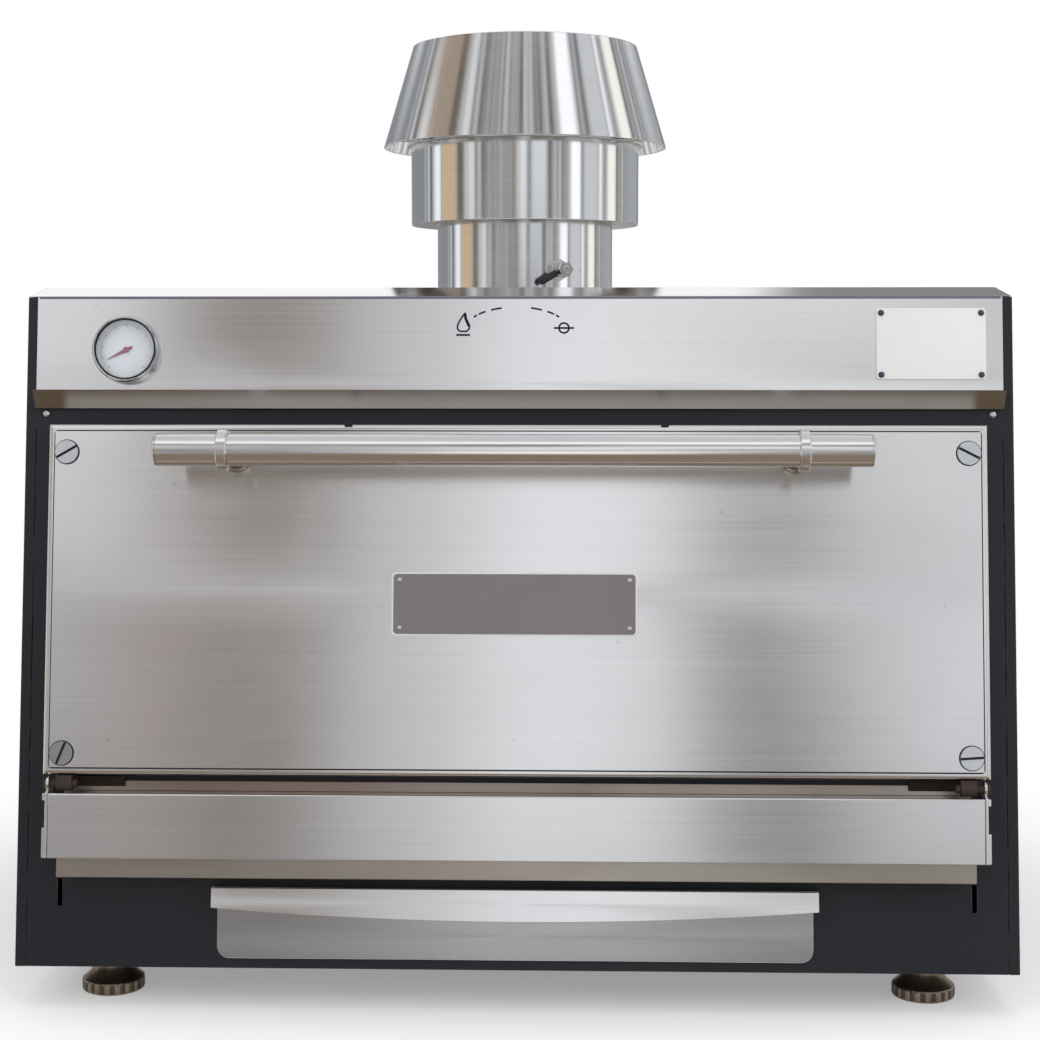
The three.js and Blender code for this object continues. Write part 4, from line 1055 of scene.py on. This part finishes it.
def grown(name, tree, places, material, body, slot, **sizes):
    """Runs a tree on loose points and turns the result into a plain piece."""
    seed_mesh = bpy.data.meshes.new(name + "_points")
    seed_mesh.from_pydata([tuple(place) for place in places], [], [])
    seed = bpy.data.objects.new(name + "_points", seed_mesh)
    bpy.context.scene.collection.objects.link(seed)
    modifier = seed.modifiers.new("tree", "NODES")
    modifier.node_group = tree
    identifiers = {
        item.name: item.identifier for item in tree.interface.items_tree if item.in_out == "INPUT"
    }
    for label, value in sizes.items():
        modifier[identifiers[label]] = value
    modifier[identifiers["Material"]] = material
    bpy.context.view_layer.update()
    evaluated = seed.evaluated_get(bpy.context.evaluated_depsgraph_get())
    mesh = bpy.data.meshes.new_from_object(evaluated)
    mesh.name = name
    seed.modifiers.remove(modifier)
    bpy.data.objects.remove(seed)
    return finish_piece(name, mesh, None, body)


def head_tree():
    """Round fastener heads on points, domed at the top, facing out of the leaning front."""
    tree = GeometryTree("fastener heads", Radius=3 * mm, Height=1.6 * mm, Lean=front_lean)
    given = tree.given
    ball = tree.node(
        "GeometryNodeMeshUVSphere", {"Segments": 24, "Rings": 12, "Radius": 1.0},
    ).outputs["Mesh"]
    size = tree.vector(given["Radius"], given["Radius"], given["Height"])
    turn = tree.vector(tree.math("SUBTRACT", math.pi / 2, given["Lean"]))
    cloud = tree.node("GeometryNodeMeshToPoints", {"Mesh": given["Geometry"]}).outputs[0]
    heads = tree.node("GeometryNodeInstanceOnPoints", {
        "Points": cloud, "Instance": ball, "Rotation": turn, "Scale": size,
    }).outputs[0]
    return tree.end(heads)


def dial_tick_tree():
    """Ticks on an arc round z, from a start angle through a sweep."""
    tree = GeometryTree(
        "dial ticks", Ring=24 * mm, Length=2.4 * mm, Width=0.3 * mm, Thickness=0.08 * mm, Count=31,
        Start=math.radians(-45), Sweep=math.radians(270),
    )
    given = tree.given
    arc = tree.node("GeometryNodeCurveArc", {
        "Resolution": given["Count"], "Radius": given["Ring"], "Start Angle": given["Start"],
        "Sweep Angle": given["Sweep"],
    }, mode="RADIUS").outputs["Curve"]
    points = tree.node("GeometryNodeCurveToPoints", {"Curve": arc, "Count": given["Count"]})
    size = tree.vector(given["Length"], given["Thickness"], given["Width"])
    box = tree.node("GeometryNodeMeshCube", {"Size": size}).outputs["Mesh"]
    ticks = tree.node("GeometryNodeInstanceOnPoints", {
        "Points": points.outputs["Points"], "Instance": box, "Rotation": points.outputs["Rotation"],
    }).outputs[0]
    return tree.end(ticks)


def rod_tree():
    """A row of round rods along y, spread evenly along x, on each point."""
    tree = GeometryTree("rod row", Count=26, Pitch=27 * mm, Length=0.4, Radius=3.5 * mm)
    given = tree.given
    rod = tree.node("GeometryNodeMeshCylinder", {
        "Vertices": 16, "Radius": given["Radius"], "Depth": given["Length"],
    }).outputs["Mesh"]
    laid = tree.node(
        "GeometryNodeTransform", {"Geometry": rod, "Rotation": (math.pi / 2, 0, 0)},
    ).outputs[0]
    step = tree.vector(given["Pitch"])
    row = tree.node("GeometryNodeMeshLine", {"Count": given["Count"], "Offset": step}).outputs["Mesh"]
    half = tree.math("MULTIPLY", tree.math("SUBTRACT", given["Count"], 1.0), -0.5)
    shift = tree.vector(tree.math("MULTIPLY", half, given["Pitch"]))
    row = tree.node("GeometryNodeSetPosition", {"Geometry": row, "Offset": shift}).outputs[0]
    rods = tree.node("GeometryNodeInstanceOnPoints", {"Points": row, "Instance": laid}).outputs[0]
    centre = tree.node("GeometryNodeMeshToPoints", {"Mesh": given["Geometry"]}).outputs[0]
    real = tree.node("GeometryNodeRealizeInstances", {"Geometry": rods}).outputs[0]
    placed = tree.node("GeometryNodeInstanceOnPoints", {"Points": centre, "Instance": real}).outputs[0]
    return tree.end(placed)


heads = head_tree()
ticks = dial_tick_tree()
rods = rod_tree()


# Door screws: cheese heads with a slot, each turned as it was left

screw_slot_angles = [math.radians(angle) for angle in (30, -27, 68, 4)]


def slotted_head(shape, place, radius, low, high, slot_half, slot_floor):
    """A round head whose slot leaves two half discs standing on a full one."""
    spin(shape, [(0, low), (radius, low), (radius, slot_floor), (0, slot_floor)], 64, place)
    round_off = 0.6 * mm
    shoulder = high - round_off
    steps = 24
    for side in (0, math.pi):
        for inset, bottom, top in ((0, slot_floor, shoulder), (round_off, shoulder, high)):
            size = radius - inset
            begin = math.asin(slot_half / size)
            outline = []
            for i in range(steps + 1):
                angle = side + begin + (math.pi - 2 * begin) * i / steps
                outline.append((size * math.cos(angle), size * math.sin(angle)))
            slab(shape, outline, bottom, top, place)


def door_screws():
    """The four heads, with painted shadow: a dark strip in each slot and a thin dark ring round each head."""
    skin = -in_front_space("door_skin")[0].y
    shank, shank_end = 4 * mm, skin + 0.4 * mm
    slot_half, slot_shadow_half = 1.2 * mm, 1.1 * mm
    shadows = bmesh.new()
    for i, angle in enumerate(screw_slot_angles):
        node = f"door_screw_{i + 1}"
        low, high = in_front_space(node)
        place = space_at((low.x + high.x) / 2, (low.z + high.z) / 2) @ Matrix.Rotation(angle, 4, "Z")
        radius = (high.x - low.x) / 2 + mm
        slot_floor = -low.y - 1.4 * mm
        shape = bmesh.new()
        spin(shape, [(0, -high.y), (shank, -high.y), (shank, shank_end), (0, shank_end)], 32, place)
        slotted_head(shape, place, radius, skin + 0.3 * mm, -low.y, slot_half, slot_floor)
        stand_in(node, shape, bezel_steel)
        # Painted shadow: a dark strip in the slot and a thin dark ring round the head
        reach = radius - 0.2 * mm
        slot_shadow = rectangle(-reach, -slot_shadow_half, reach, slot_shadow_half)
        slab(shadows, slot_shadow, slot_floor + 0.02 * mm, slot_floor + 0.5 * mm, place)
        shadow_ring_inner, shadow_ring_outer = radius + 0.1 * mm, radius + 0.9 * mm
        spin(shadows, [
            (shadow_ring_inner, skin + 0.2 * mm), (shadow_ring_outer, skin + 0.2 * mm),
            (shadow_ring_outer, skin + 0.5 * mm), (shadow_ring_inner, skin + 0.9 * mm),
        ], 64, place)
    extra_piece("door_screw_shadows", shadows, seal_and_shadow_black, "door_screw_1")


door_screws()


# Cooking grids: the frame bars with smooth rods between them


def cooking_grids():
    bar = 9 * mm
    rod_radius = 3.5 * mm
    for node in ("cooking_grid_lower", "cooking_grid_upper"):
        low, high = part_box(node)
        half = high.x
        shape = bmesh.new()
        for bar_outline in (
            rectangle(-half, low.y, half, low.y + bar),
            rectangle(-half, high.y - bar, half, high.y),
            rectangle(-half, low.y + bar * 0.5, -half + bar, high.y - bar * 0.5),
            rectangle(half - bar, low.y + bar * 0.5, half, high.y - bar * 0.5),
        ):
            slab(shape, bar_outline, low.z, high.z)
        stand_in(node, shape, grid_steel, "_frame", edge=1.2 * mm)
        centre = Vector((0, (low.y + high.y) / 2, high.z - rod_radius - 0.3 * mm))
        grown(
            node + "_rods", rods, [centre], grid_steel, body_of_node[node], slot_of_node[node],
            Count=26, Pitch=27 * mm, Length=high.y - low.y - bar, Radius=rod_radius,
        )


cooking_grids()


# The door's rope gasket: a round rope on the edge of the mouth


def rope_gasket():
    low, high = in_front_space("door_gasket")
    middle_y = (low.y + high.y) / 2
    radius = (high.y - low.y) / 2
    outline = rounded_outline(
        low.x + radius, low.z + radius, high.x - radius, high.z - radius, 14 * mm, steps=6,
    )
    rope_sides = 12
    shape = bmesh.new()
    rings = []
    for i, (x, up) in enumerate(outline):
        before = Vector(outline[i - 1])
        after = Vector(outline[(i + 1) % len(outline)])
        way = (after - before).normalized()
        side = Vector((way.y, -way.x))
        ring = []
        for k in range(rope_sides):
            angle = full_turn * k / rope_sides
            out = radius * math.cos(angle)
            deep = radius * math.sin(angle)
            place = Vector((x + side.x * out, middle_y + deep, up + side.y * out))
            ring.append(shape.verts.new(front_space @ place))
        rings.append(ring)
    join_rings(shape, rings)
    stand_in("door_gasket", shape, seal_rope, "_rope", sharp=80)


rope_gasket()


# Small parts: a dark line of painted shadow round the skin, upstand, hinge leaves, a dark strip of painted shadow
# under the lid, rim clips, drawer lip and screws


def front_bar(name, outline, back, front, material, body="cabinet", edge=0.2 * mm):
    return front_slab(name, outline, back, front, material, body, edge=edge)


def skin_shadow_line():
    """A thin dark line round the door's skin where it meets its pan: painted shadow of the gap between them."""
    low, high = in_front_space("door_skin")
    seat = -pan_low.y + 0.02 * mm
    inner, outer = (
        rounded_outline(low.x - out, low.z - out, high.x + out, high.z + out, 2 * mm + out, steps=3)
        for out in (0.1 * mm, 1.3 * mm)
    )
    section = ((inner, seat), (outer, seat), (outer, seat + 0.5 * mm), (inner, seat + 1.2 * mm))
    shape = bmesh.new()
    join_rings(shape, [
        [shape.verts.new(plate_space @ Vector((x, y, height))) for x, y in outline]
        for outline, height in section
    ])
    extra_piece("door_skin_shadow_line", shape, seal_and_shadow_black, "door_skin")


def front_fittings():
    frame_front = -in_front_space("front_frame")[0].y + 0.1 * mm
    shelf = ledge_high.z
    half = ledge_high.x - 5 * mm
    upstand = rectangle(-half, shelf + 0.1 * mm, half, shelf + 9 * mm)
    front_bar("ledge_upstand", upstand, frame_front, frame_front + 1.2 * mm, shelf_steel)

    leaf_inner, leaf_outer = 356 * mm, 411 * mm
    for name, left, right in (
        ("hinge_leaf_left", -leaf_outer, -leaf_inner),
        ("hinge_leaf_right", leaf_inner, leaf_outer),
    ):
        leaf = rectangle(left, shelf + 4 * mm, right, shelf + 13 * mm)
        front_bar(name, leaf, frame_front + 1.3 * mm, frame_front + 3.3 * mm, hinge_brown)

    # A dark strip under the lid's edge: painted shadow of the gap between lid and fascia
    top = in_front_space("fascia")[1].z
    half_shadow_gap = 444 * mm
    seam = rectangle(-half_shadow_gap, top - 1.9 * mm, half_shadow_gap, top - 0.1 * mm)
    front_bar("lid_shadow_gap_strip", seam, 1.85 * mm, 2.5 * mm, shadow_gap_grey, edge=0.1 * mm)

    rim = -pan_low.y
    clip_half, clip_rise = 3.5 * mm, 2 * mm
    for name, x in (("rim_clip_left", -151 * mm), ("rim_clip_right", 135 * mm)):
        clip = rectangle(
            x - clip_half, pan_high.z - clip_rise, x + clip_half, pan_high.z + clip_rise,
        )
        front_bar(name, clip, rim - 4 * mm, rim + 0.6 * mm, seal_and_shadow_black, "door", edge=0.5 * mm)

    screw_x, screw_up = 436 * mm, 506.5 * mm
    places = [on_front(x, screw_up, frame_front) for x in (-screw_x, screw_x)]
    grown(
        "lip_screws", heads, places, fitting_steel, "cabinet", "polished_steel",
        Radius=3.4 * mm, Height=2.2 * mm,
    )


def drawer_apron():
    """The drawer's flared grip lip: its lower edge bows down to the middle."""
    low, high = in_front_space("ash_drawer_front")
    half = high.x - 0.5 * mm
    top = high.z - 0.6 * mm
    seat = -low.y + 0.05 * mm
    sheet = 1.0 * mm
    flare = 0.12
    end_drop, bow = 17.5, 10.5
    count = 48
    shape = bmesh.new()
    columns = []
    for i in range(count + 1):
        share = 2 * i / count - 1
        bottom = top - (end_drop + bow * (1 - share * share)) * mm
        out = seat + flare * (top - bottom)
        columns.append([
            shape.verts.new(on_front(half * share, up, proud))
            for up, proud in ((top, seat), (top, seat + sheet), (bottom, out + sheet), (bottom, out))
        ])
    join_rings(shape, columns, closed=False)
    shape.faces.new(columns[0])
    shape.faces.new(columns[-1])
    extra_piece("ash_drawer_lip", shape, front_steel, "ash_drawer_front", edge=0.4 * mm)


def back_screws():
    """Pan-head screws round the edge of the back panel."""
    low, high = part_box("back_panel")
    inset = 14 * mm
    across_back = [low.x + inset + (high.x - low.x - 2 * inset) * i / 4 for i in range(5)]
    up_back = [low.z + inset + (high.z - low.z - 2 * inset) * i / 3 for i in range(4)]
    places = [(x, high.y, z) for x in across_back for z in (up_back[0], up_back[-1])]
    places += [(x, high.y, z) for x in (across_back[0], across_back[-1]) for z in up_back[1:-1]]
    grown(
        "back_panel_screws", heads, places, fitting_steel, "cabinet", "polished_steel",
        Radius=4.2 * mm, Height=1.9 * mm, Lean=0.0,
    )


skin_shadow_line()
drawer_apron()
front_fittings()
back_screws()


# Badge plate on the door, left bare inside its pale border


def badge():
    low, high = in_front_space("badge_plate")
    back, front = -high.y, -low.y
    corner = 4 * mm
    rim = rounded_outline(low.x, low.z, high.x, high.z, corner)
    front_slab(
        "badge_rim", rim, back, front, badge_rim_enamel, "door",
        ("badge_plate",), edge=0.3 * mm,
    )
    inset = 1.6 * mm
    field = rounded_outline(
        low.x + inset, low.z + inset, high.x - inset, high.z - inset, corner - inset / 2,
    )
    front_slab(
        "badge_field", field, front, front + 0.25 * mm, badge_enamel,
        "door", edge=0.1 * mm,
    )
    grown(
        "badge_rivets", heads, plate_corners("badge_plate", 7 * mm, 0.2 * mm), fitting_steel, "door",
        "polished_steel", Radius=2.4 * mm, Height=1.1 * mm,
    )


badge()


# The four screws of the notice plate on the fascia, which is left bare


def notice_screws():
    grown(
        "notice_screws", heads, plate_corners("notice_plate", 4.4 * mm, 0.1 * mm), dark_screw_steel,
        "cabinet", "polished_steel", Radius=2.9 * mm, Height=1.5 * mm,
    )


notice_screws()


# Marks for the damper: a flame, a dashed arc and a shut sign

fascia_face = 1.8 * mm
ink_height = 0.12 * mm


def ink(name, outlines):
    shape = bmesh.new()
    for outline in outlines:
        slab(shape, outline, fascia_face, fascia_face + ink_height, plate_space)
    return finish_piece(name, mesh_from(shape, name), mark_ink, "cabinet")


def thick_path(points, width):
    """One small four-sided stroke for each stretch of a path, a little longer than the stretch."""
    overlap = 0.2
    strokes = []
    for (x0, y0), (x1, y1) in zip(points, points[1:]):
        way = Vector((x1 - x0, y1 - y0)).normalized()
        side = Vector((-way.y, way.x)) * width / 2
        reach = way * width * overlap
        near, far = side + reach, side - reach
        strokes.append([
            (x0 - near.x, y0 - near.y), (x1 - far.x, y1 - far.y),
            (x1 + near.x, y1 + near.y), (x0 + far.x, y0 + far.y),
        ])
    return strokes


def ellipse_point(x, up, wide, tall, angle):
    return (x + wide * math.cos(angle), up + tall * math.sin(angle))


def damper_marks():
    flame_x, flame_low = -49.6 * mm, 583.1 * mm
    flame_half, flame_height = 6 * mm, 17 * mm

    def on_flame(shares):
        return [(flame_x + u * flame_half, flame_low + v * flame_height) for u, v in shares]

    flame = on_flame([
        (0.3, 1.0), (-0.1, 0.82), (-0.5, 0.6), (-0.85, 0.35), (-0.85, 0.12), (-0.45, 0.0), (0.55, 0.0),
        (0.95, 0.15), (1.0, 0.3), (0.75, 0.5), (0.45, 0.68), (0.35, 0.85), (0.3, 1.0),
    ])
    flame_side = on_flame([(0.3, 0.92), (0.4, 0.68), (0.7, 0.45), (0.85, 0.3)])
    line_y = flame_low - 3.4 * mm
    underline = [(flame_x - flame_half, line_y), (flame_x + flame_half, line_y)]
    ink("flame_mark", [
        *thick_path(flame, 1.6 * mm),
        *thick_path(flame_side, 2.6 * mm),
        *thick_path(underline, 1.9 * mm),
    ])

    arc_x, arc_up, arc_wide, arc_tall = -0.4 * mm, 586.4 * mm, 46 * mm, 19.3 * mm
    dashes = []
    for side in (-1, 1):
        for start, end in ((17.6, 30.3), (38.9, 48.8), (53.1, 58.4)):
            dashes += thick_path([
                ellipse_point(
                    arc_x, arc_up, arc_wide, arc_tall, math.pi / 2 - side * math.radians(degrees),
                )
                for degrees in (start, (start + end) / 2, end)
            ], 1.7 * mm)
    ink("arc_mark", dashes)

    shut_x, shut_up, shut_radius = 43.5 * mm, 586.2 * mm, 4.6 * mm
    steps = 24
    circle = [
        ellipse_point(shut_x, shut_up, shut_radius, shut_radius, full_turn * i / steps)
        for i in range(steps + 1)
    ]
    bar_half = 9 * mm
    bar = [(shut_x - bar_half, shut_up), (shut_x + bar_half, shut_up)]
    ink("shut_mark", thick_path(circle, 1.7 * mm) + thick_path(bar, 1.8 * mm))


damper_marks()


# Dial ticks


def dial_marks():
    card_space = gauge_space.copy()
    card_space.translation = gauge_space @ Vector((0, 0, gauge_back + 3.34 * mm))
    for name, ring, length, width, count in (
        ("dial_fine_ticks", 23.5 * mm, 1.6 * mm, 0.4 * mm, 51),
        ("dial_main_ticks", 22.8 * mm, 3.0 * mm, 0.7 * mm, 11),
    ):
        piece = grown(
            name, ticks, [Vector((0, 0, 0))], dial_ink, "cabinet", "dial_white",
            Ring=ring, Length=length, Width=width, Count=count,
        )
        piece.data.transform(card_space)


dial_marks()


# Light, world and floor

floor_tone = (0.93, 0.925, 0.915, 1)


def ray_kinds(wiring):
    """Masks of the camera's own rays, and of those that polished metal and glass send out."""
    rays = wiring.node("ShaderNodeLightPath").outputs
    shiny = wiring.math("MAXIMUM", rays["Is Glossy Ray"], rays["Is Transmission Ray"])
    return rays["Is Camera Ray"], shiny


def wave_of(wiring, value, low, high, soft):
    """1 between low and high, with soft shoulders."""
    rise = wiring.remap(value, low - soft, low + soft)
    fall = wiring.remap(value, high + soft, high - soft)
    return wiring.math("MULTIPLY", rise, fall)


def azimuth_of(wiring, way):
    """Degrees round the oven, from its front towards its right."""
    angle = wiring.math("ARCTAN2", way["X"], wiring.math("MULTIPLY", way["Y"], -1.0))
    return wiring.math("MULTIPLY", angle, 180 / math.pi)


def pleats(wiring, azimuth, dark, light):
    """The tones of a pleated curtain, round the oven."""
    along = wiring.math("MULTIPLY", azimuth, 0.21)
    folds = wiring.node(
        "ShaderNodeTexNoise", {"W": along, "Scale": 1.0, "Detail": 4.0}, noise_dimensions="1D",
    ).outputs["Fac"]
    return wiring.remap(folds, 0.38, 0.62, dark, light)


def studio_world():
    """White for the camera, and for polished metal a studio of screens and windows."""
    world = bpy.data.worlds.new("studio")
    bpy.context.scene.world = world
    world.use_nodes = True
    wiring = Wiring(world.node_tree)
    world.node_tree.nodes.clear()
    sky_place = wiring.node("ShaderNodeTexCoord").outputs["Generated"]
    way = wiring.node("ShaderNodeSeparateXYZ", {0: sky_place}).outputs
    azimuth = azimuth_of(wiring, way)
    height = wiring.math("MULTIPLY", wiring.math("ARCSINE", way["Z"]), 180 / math.pi)

    # A white room with a pleated curtain in front of it
    tone = pleats(wiring, azimuth, 0.12, 0.62)
    curtain = wiring.vector(tone, tone, tone)
    hung = wiring.math(
        "MULTIPLY", wave_of(wiring, azimuth, -118, 128, 2), wave_of(wiring, height, -90, 62, 6),
    )
    colour = wiring.mix(hung, grey(1.0), curtain)

    # Each screen: azimuth from and to, height from and to, softness across and in height, and colour
    screens = [
        (-180, -117, -90, 75, 5, 4, (0.27, 0.28, 0.30)),
        (124, 200, -90, 75, 7, 4, (0.40, 0.41, 0.43)),
        (-200, -166, -6, 26, 3, 3, (0.60, 0.61, 0.63)),
        (-200, -132, 18, 90, 8, 4, (0.72, 0.73, 0.75)),
        (132, 200, 18, 90, 8, 4, (0.72, 0.73, 0.75)),
        (-200, -132, 29, 44, 8, 2, (1.1, 1.1, 1.12)),
        (132, 200, 29, 44, 8, 2, (1.1, 1.1, 1.12)),
        (158, 175.3, -10, 30, 1.5, 4, (0.27, 0.28, 0.30)),
        (175.3, 200, -6, 26, 1.2, 3, (0.60, 0.61, 0.63)),
        (150, 173.0, 29, 45, 1.4, 3, (0.27, 0.275, 0.285)),
        (-101, -92, -90, 60, 1.5, 4, (1.02, 1.03, 1.08)),
        (-90, -72, -90, 26, 1.0, 4, (0.64, 0.49, 0.31)),
        (-108, -62, 28, 62, 9, 5, (0.40, 0.32, 0.255)),
        (-70, -63, -90, 58, 1.5, 4, (0.16, 0.14, 0.12)),
        (-57, -50, -90, 58, 1.2, 4, (0.78, 0.78, 0.80)),
        (34, 50, 26, 80, 2.0, 4, (1.2, 1.21, 1.24)),
        (48, 59, -90, 28, 1.5, 4, (1.25, 1.26, 1.28)),
        (63, 80, -90, 62, 2.5, 4, (0.66, 0.67, 0.69)),
        (81, 85, -90, 62, 1.0, 4, (1.1, 1.1, 1.12)),
        (93, 105, -90, 62, 1.5, 4, (1.12, 1.09, 1.02)),
        (-70, 60, 47, 62, 6, 3, (1.12, 1.13, 1.17)),
        (-180, 180, 67, 90, 5, 3, (0.62, 0.63, 0.67)),
        (-22, 22, -90, 26, 4.0, 3, (0.66, 0.66, 0.67)),
        (-22, -12.8, 10, 30, 1.4, 2.0, (0.77, 0.78, 0.81)),
        (-22, -12.8, 16, 30, 1.4, 1.5, (0.88, 0.89, 0.92)),
        (-22, -12.8, -90, 8.8, 1.4, 2.5, (0.34, 0.325, 0.33)),
        (-12.4, -7.2, -90, 26, 1.5, 3, (0.27, 0.243, 0.225)),
        (-13.2, -11.7, 4.5, 11, 0.9, 1.5, (0.52, 0.385, 0.325)),
        (-3.0, 2.5, -90, 26, 1.5, 3, (0.94, 0.96, 1.0)),
        (3.75, 7.5, -90, 15.6, 1.0, 0.8, (0.27, 0.27, 0.28)),
        (9.2, 22, -90, 26, 1.2, 3, (0.80, 0.82, 0.86)),
        (1.5, 22, 16, 30, 2.0, 1.2, (0.95, 0.96, 0.97)),
        (9.6, 30, 15.7, 30, 0.7, 0.8, (0.79, 0.78, 0.78)),
        (12.4, 30, 15.7, 30, 0.5, 0.8, (0.64, 0.63, 0.64)),
        (-22, 22, -90, 2.0, 4.0, 1.2, (0.25, 0.25, 0.265)),
    ]
    for left, right, low, high, soft_across, soft_up, light in screens:
        inside = wiring.math(
            "MULTIPLY",
            wave_of(wiring, azimuth, left, right, soft_across),
            wave_of(wiring, height, low, high, soft_up),
        )
        colour = wiring.mix(inside, colour, (*light, 1))
    reflected, soft_light, backdrop = (
        wiring.node("ShaderNodeBackground", {"Color": tint, "Strength": strength}).outputs[0]
        for tint, strength in ((colour, 1.0), (grey(1.0), 0.72), (grey(1.0), 1.0))
    )
    camera_ray, shiny = ray_kinds(wiring)
    light = wiring.node("ShaderNodeMixShader", {0: shiny, 1: soft_light, 2: reflected}).outputs[0]
    seen = wiring.node("ShaderNodeMixShader", {0: camera_ray, 1: light, 2: backdrop}).outputs[0]
    wiring.node("ShaderNodeOutputWorld", {"Surface": seen})


def flat_plane(name, left, front, right, back, height):
    mesh = bpy.data.meshes.new(name)
    corners = [(x, y, height) for x, y in rectangle(left, front, right, back)]
    mesh.from_pydata(corners, [], [(0, 1, 2, 3)])
    plane = bpy.data.objects.new(name, mesh)
    bpy.context.scene.collection.objects.link(plane)
    material = bpy.data.materials.new(name)
    material.use_nodes = True
    material.node_tree.nodes.clear()
    mesh.materials.append(material)
    return plane, Wiring(material.node_tree)


def floor():
    """A pale floor that keeps the shadow near the oven and turns white further off."""
    reach = 30
    wiring = flat_plane("pale floor", -reach, -reach, reach, reach, 0)[1]
    place = wiring.object_place()
    narrow = wiring.node("ShaderNodeMapping", {"Vector": place, "Scale": (0.75, 1, 1)}).outputs[0]
    distance = wiring.node("ShaderNodeVectorMath", {0: narrow}, operation="LENGTH").outputs["Value"]
    matt = wiring.node("ShaderNodeBsdfDiffuse", {"Color": floor_tone}).outputs[0]
    far = wiring.remap(distance, 0.32, 0.85, 0.3, 1.0)
    camera_ray, shiny = ray_kinds(wiring)

    # Polished metal shows the curtain's folds mirrored in the floor, darker in front of the oven
    azimuth = azimuth_of(wiring, wiring.node("ShaderNodeSeparateXYZ", {0: place}).outputs)
    folds = pleats(wiring, wiring.math("ABSOLUTE", azimuth), 0.30, 0.95)
    dim = wiring.math("MULTIPLY", wave_of(wiring, azimuth, -26, 26, 5), 0.42)
    folds = wiring.math("MULTIPLY", folds, wiring.math("SUBTRACT", 1.0, dim))

    # The camera, and metal that looks straight to the front, see plain white
    plain = wiring.math("MAXIMUM", wave_of(wiring, azimuth, -6.5, 7.5, 3), camera_ray)
    tone = wiring.math("MAXIMUM", folds, plain)
    pale = wiring.vector(tone, tone, tone)
    white = wiring.node("ShaderNodeEmission", {"Color": pale, "Strength": 1.0}).outputs[0]
    lit = wiring.math("MULTIPLY", far, wiring.math("MAXIMUM", camera_ray, shiny))
    seen = wiring.node("ShaderNodeMixShader", {0: lit, 1: matt, 2: white}).outputs[0]
    wiring.node("ShaderNodeOutputMaterial", {"Surface": seen})


def brown_card():
    """A warm card on the floor in front, out of the picture, that only the metal shows."""
    card, wiring = flat_plane("brown card", -1.6, -1.5, 1.6, -0.36, 2 * mm)
    brown = (0.25, 0.195, 0.145, 1)
    warm = wiring.node("ShaderNodeEmission", {"Color": brown, "Strength": 1.0}).outputs[0]
    wiring.node("ShaderNodeOutputMaterial", {"Surface": warm})
    card.visible_camera = False
    card.visible_diffuse = False
    card.visible_transmission = False
    card.visible_shadow = False


def lamp(name, place, target, size, power):
    data = bpy.data.lights.new(name, "AREA")
    data.shape = "DISK"
    data.size = size
    data.energy = power
    light = bpy.data.objects.new(name, data)
    bpy.context.scene.collection.objects.link(light)
    light.location = place
    light.rotation_mode = "QUATERNION"
    light.rotation_quaternion = (Vector(target) - Vector(place)).to_track_quat("-Z", "Y")
    light.visible_glossy = False


studio_world()
floor()
brown_card()
lamp("overhead", (0.2, -0.6, 2.8), (0, 0, 0.3), 2.2, 26)
lamp("left front", (-2.2, -2.4, 1.8), (0, 0, 0.4), 1.6, 22)
lamp("right front", (2.4, -2.0, 1.5), (0, 0, 0.4), 1.6, 18)
bpy.context.scene.view_settings.view_transform = "Standard"
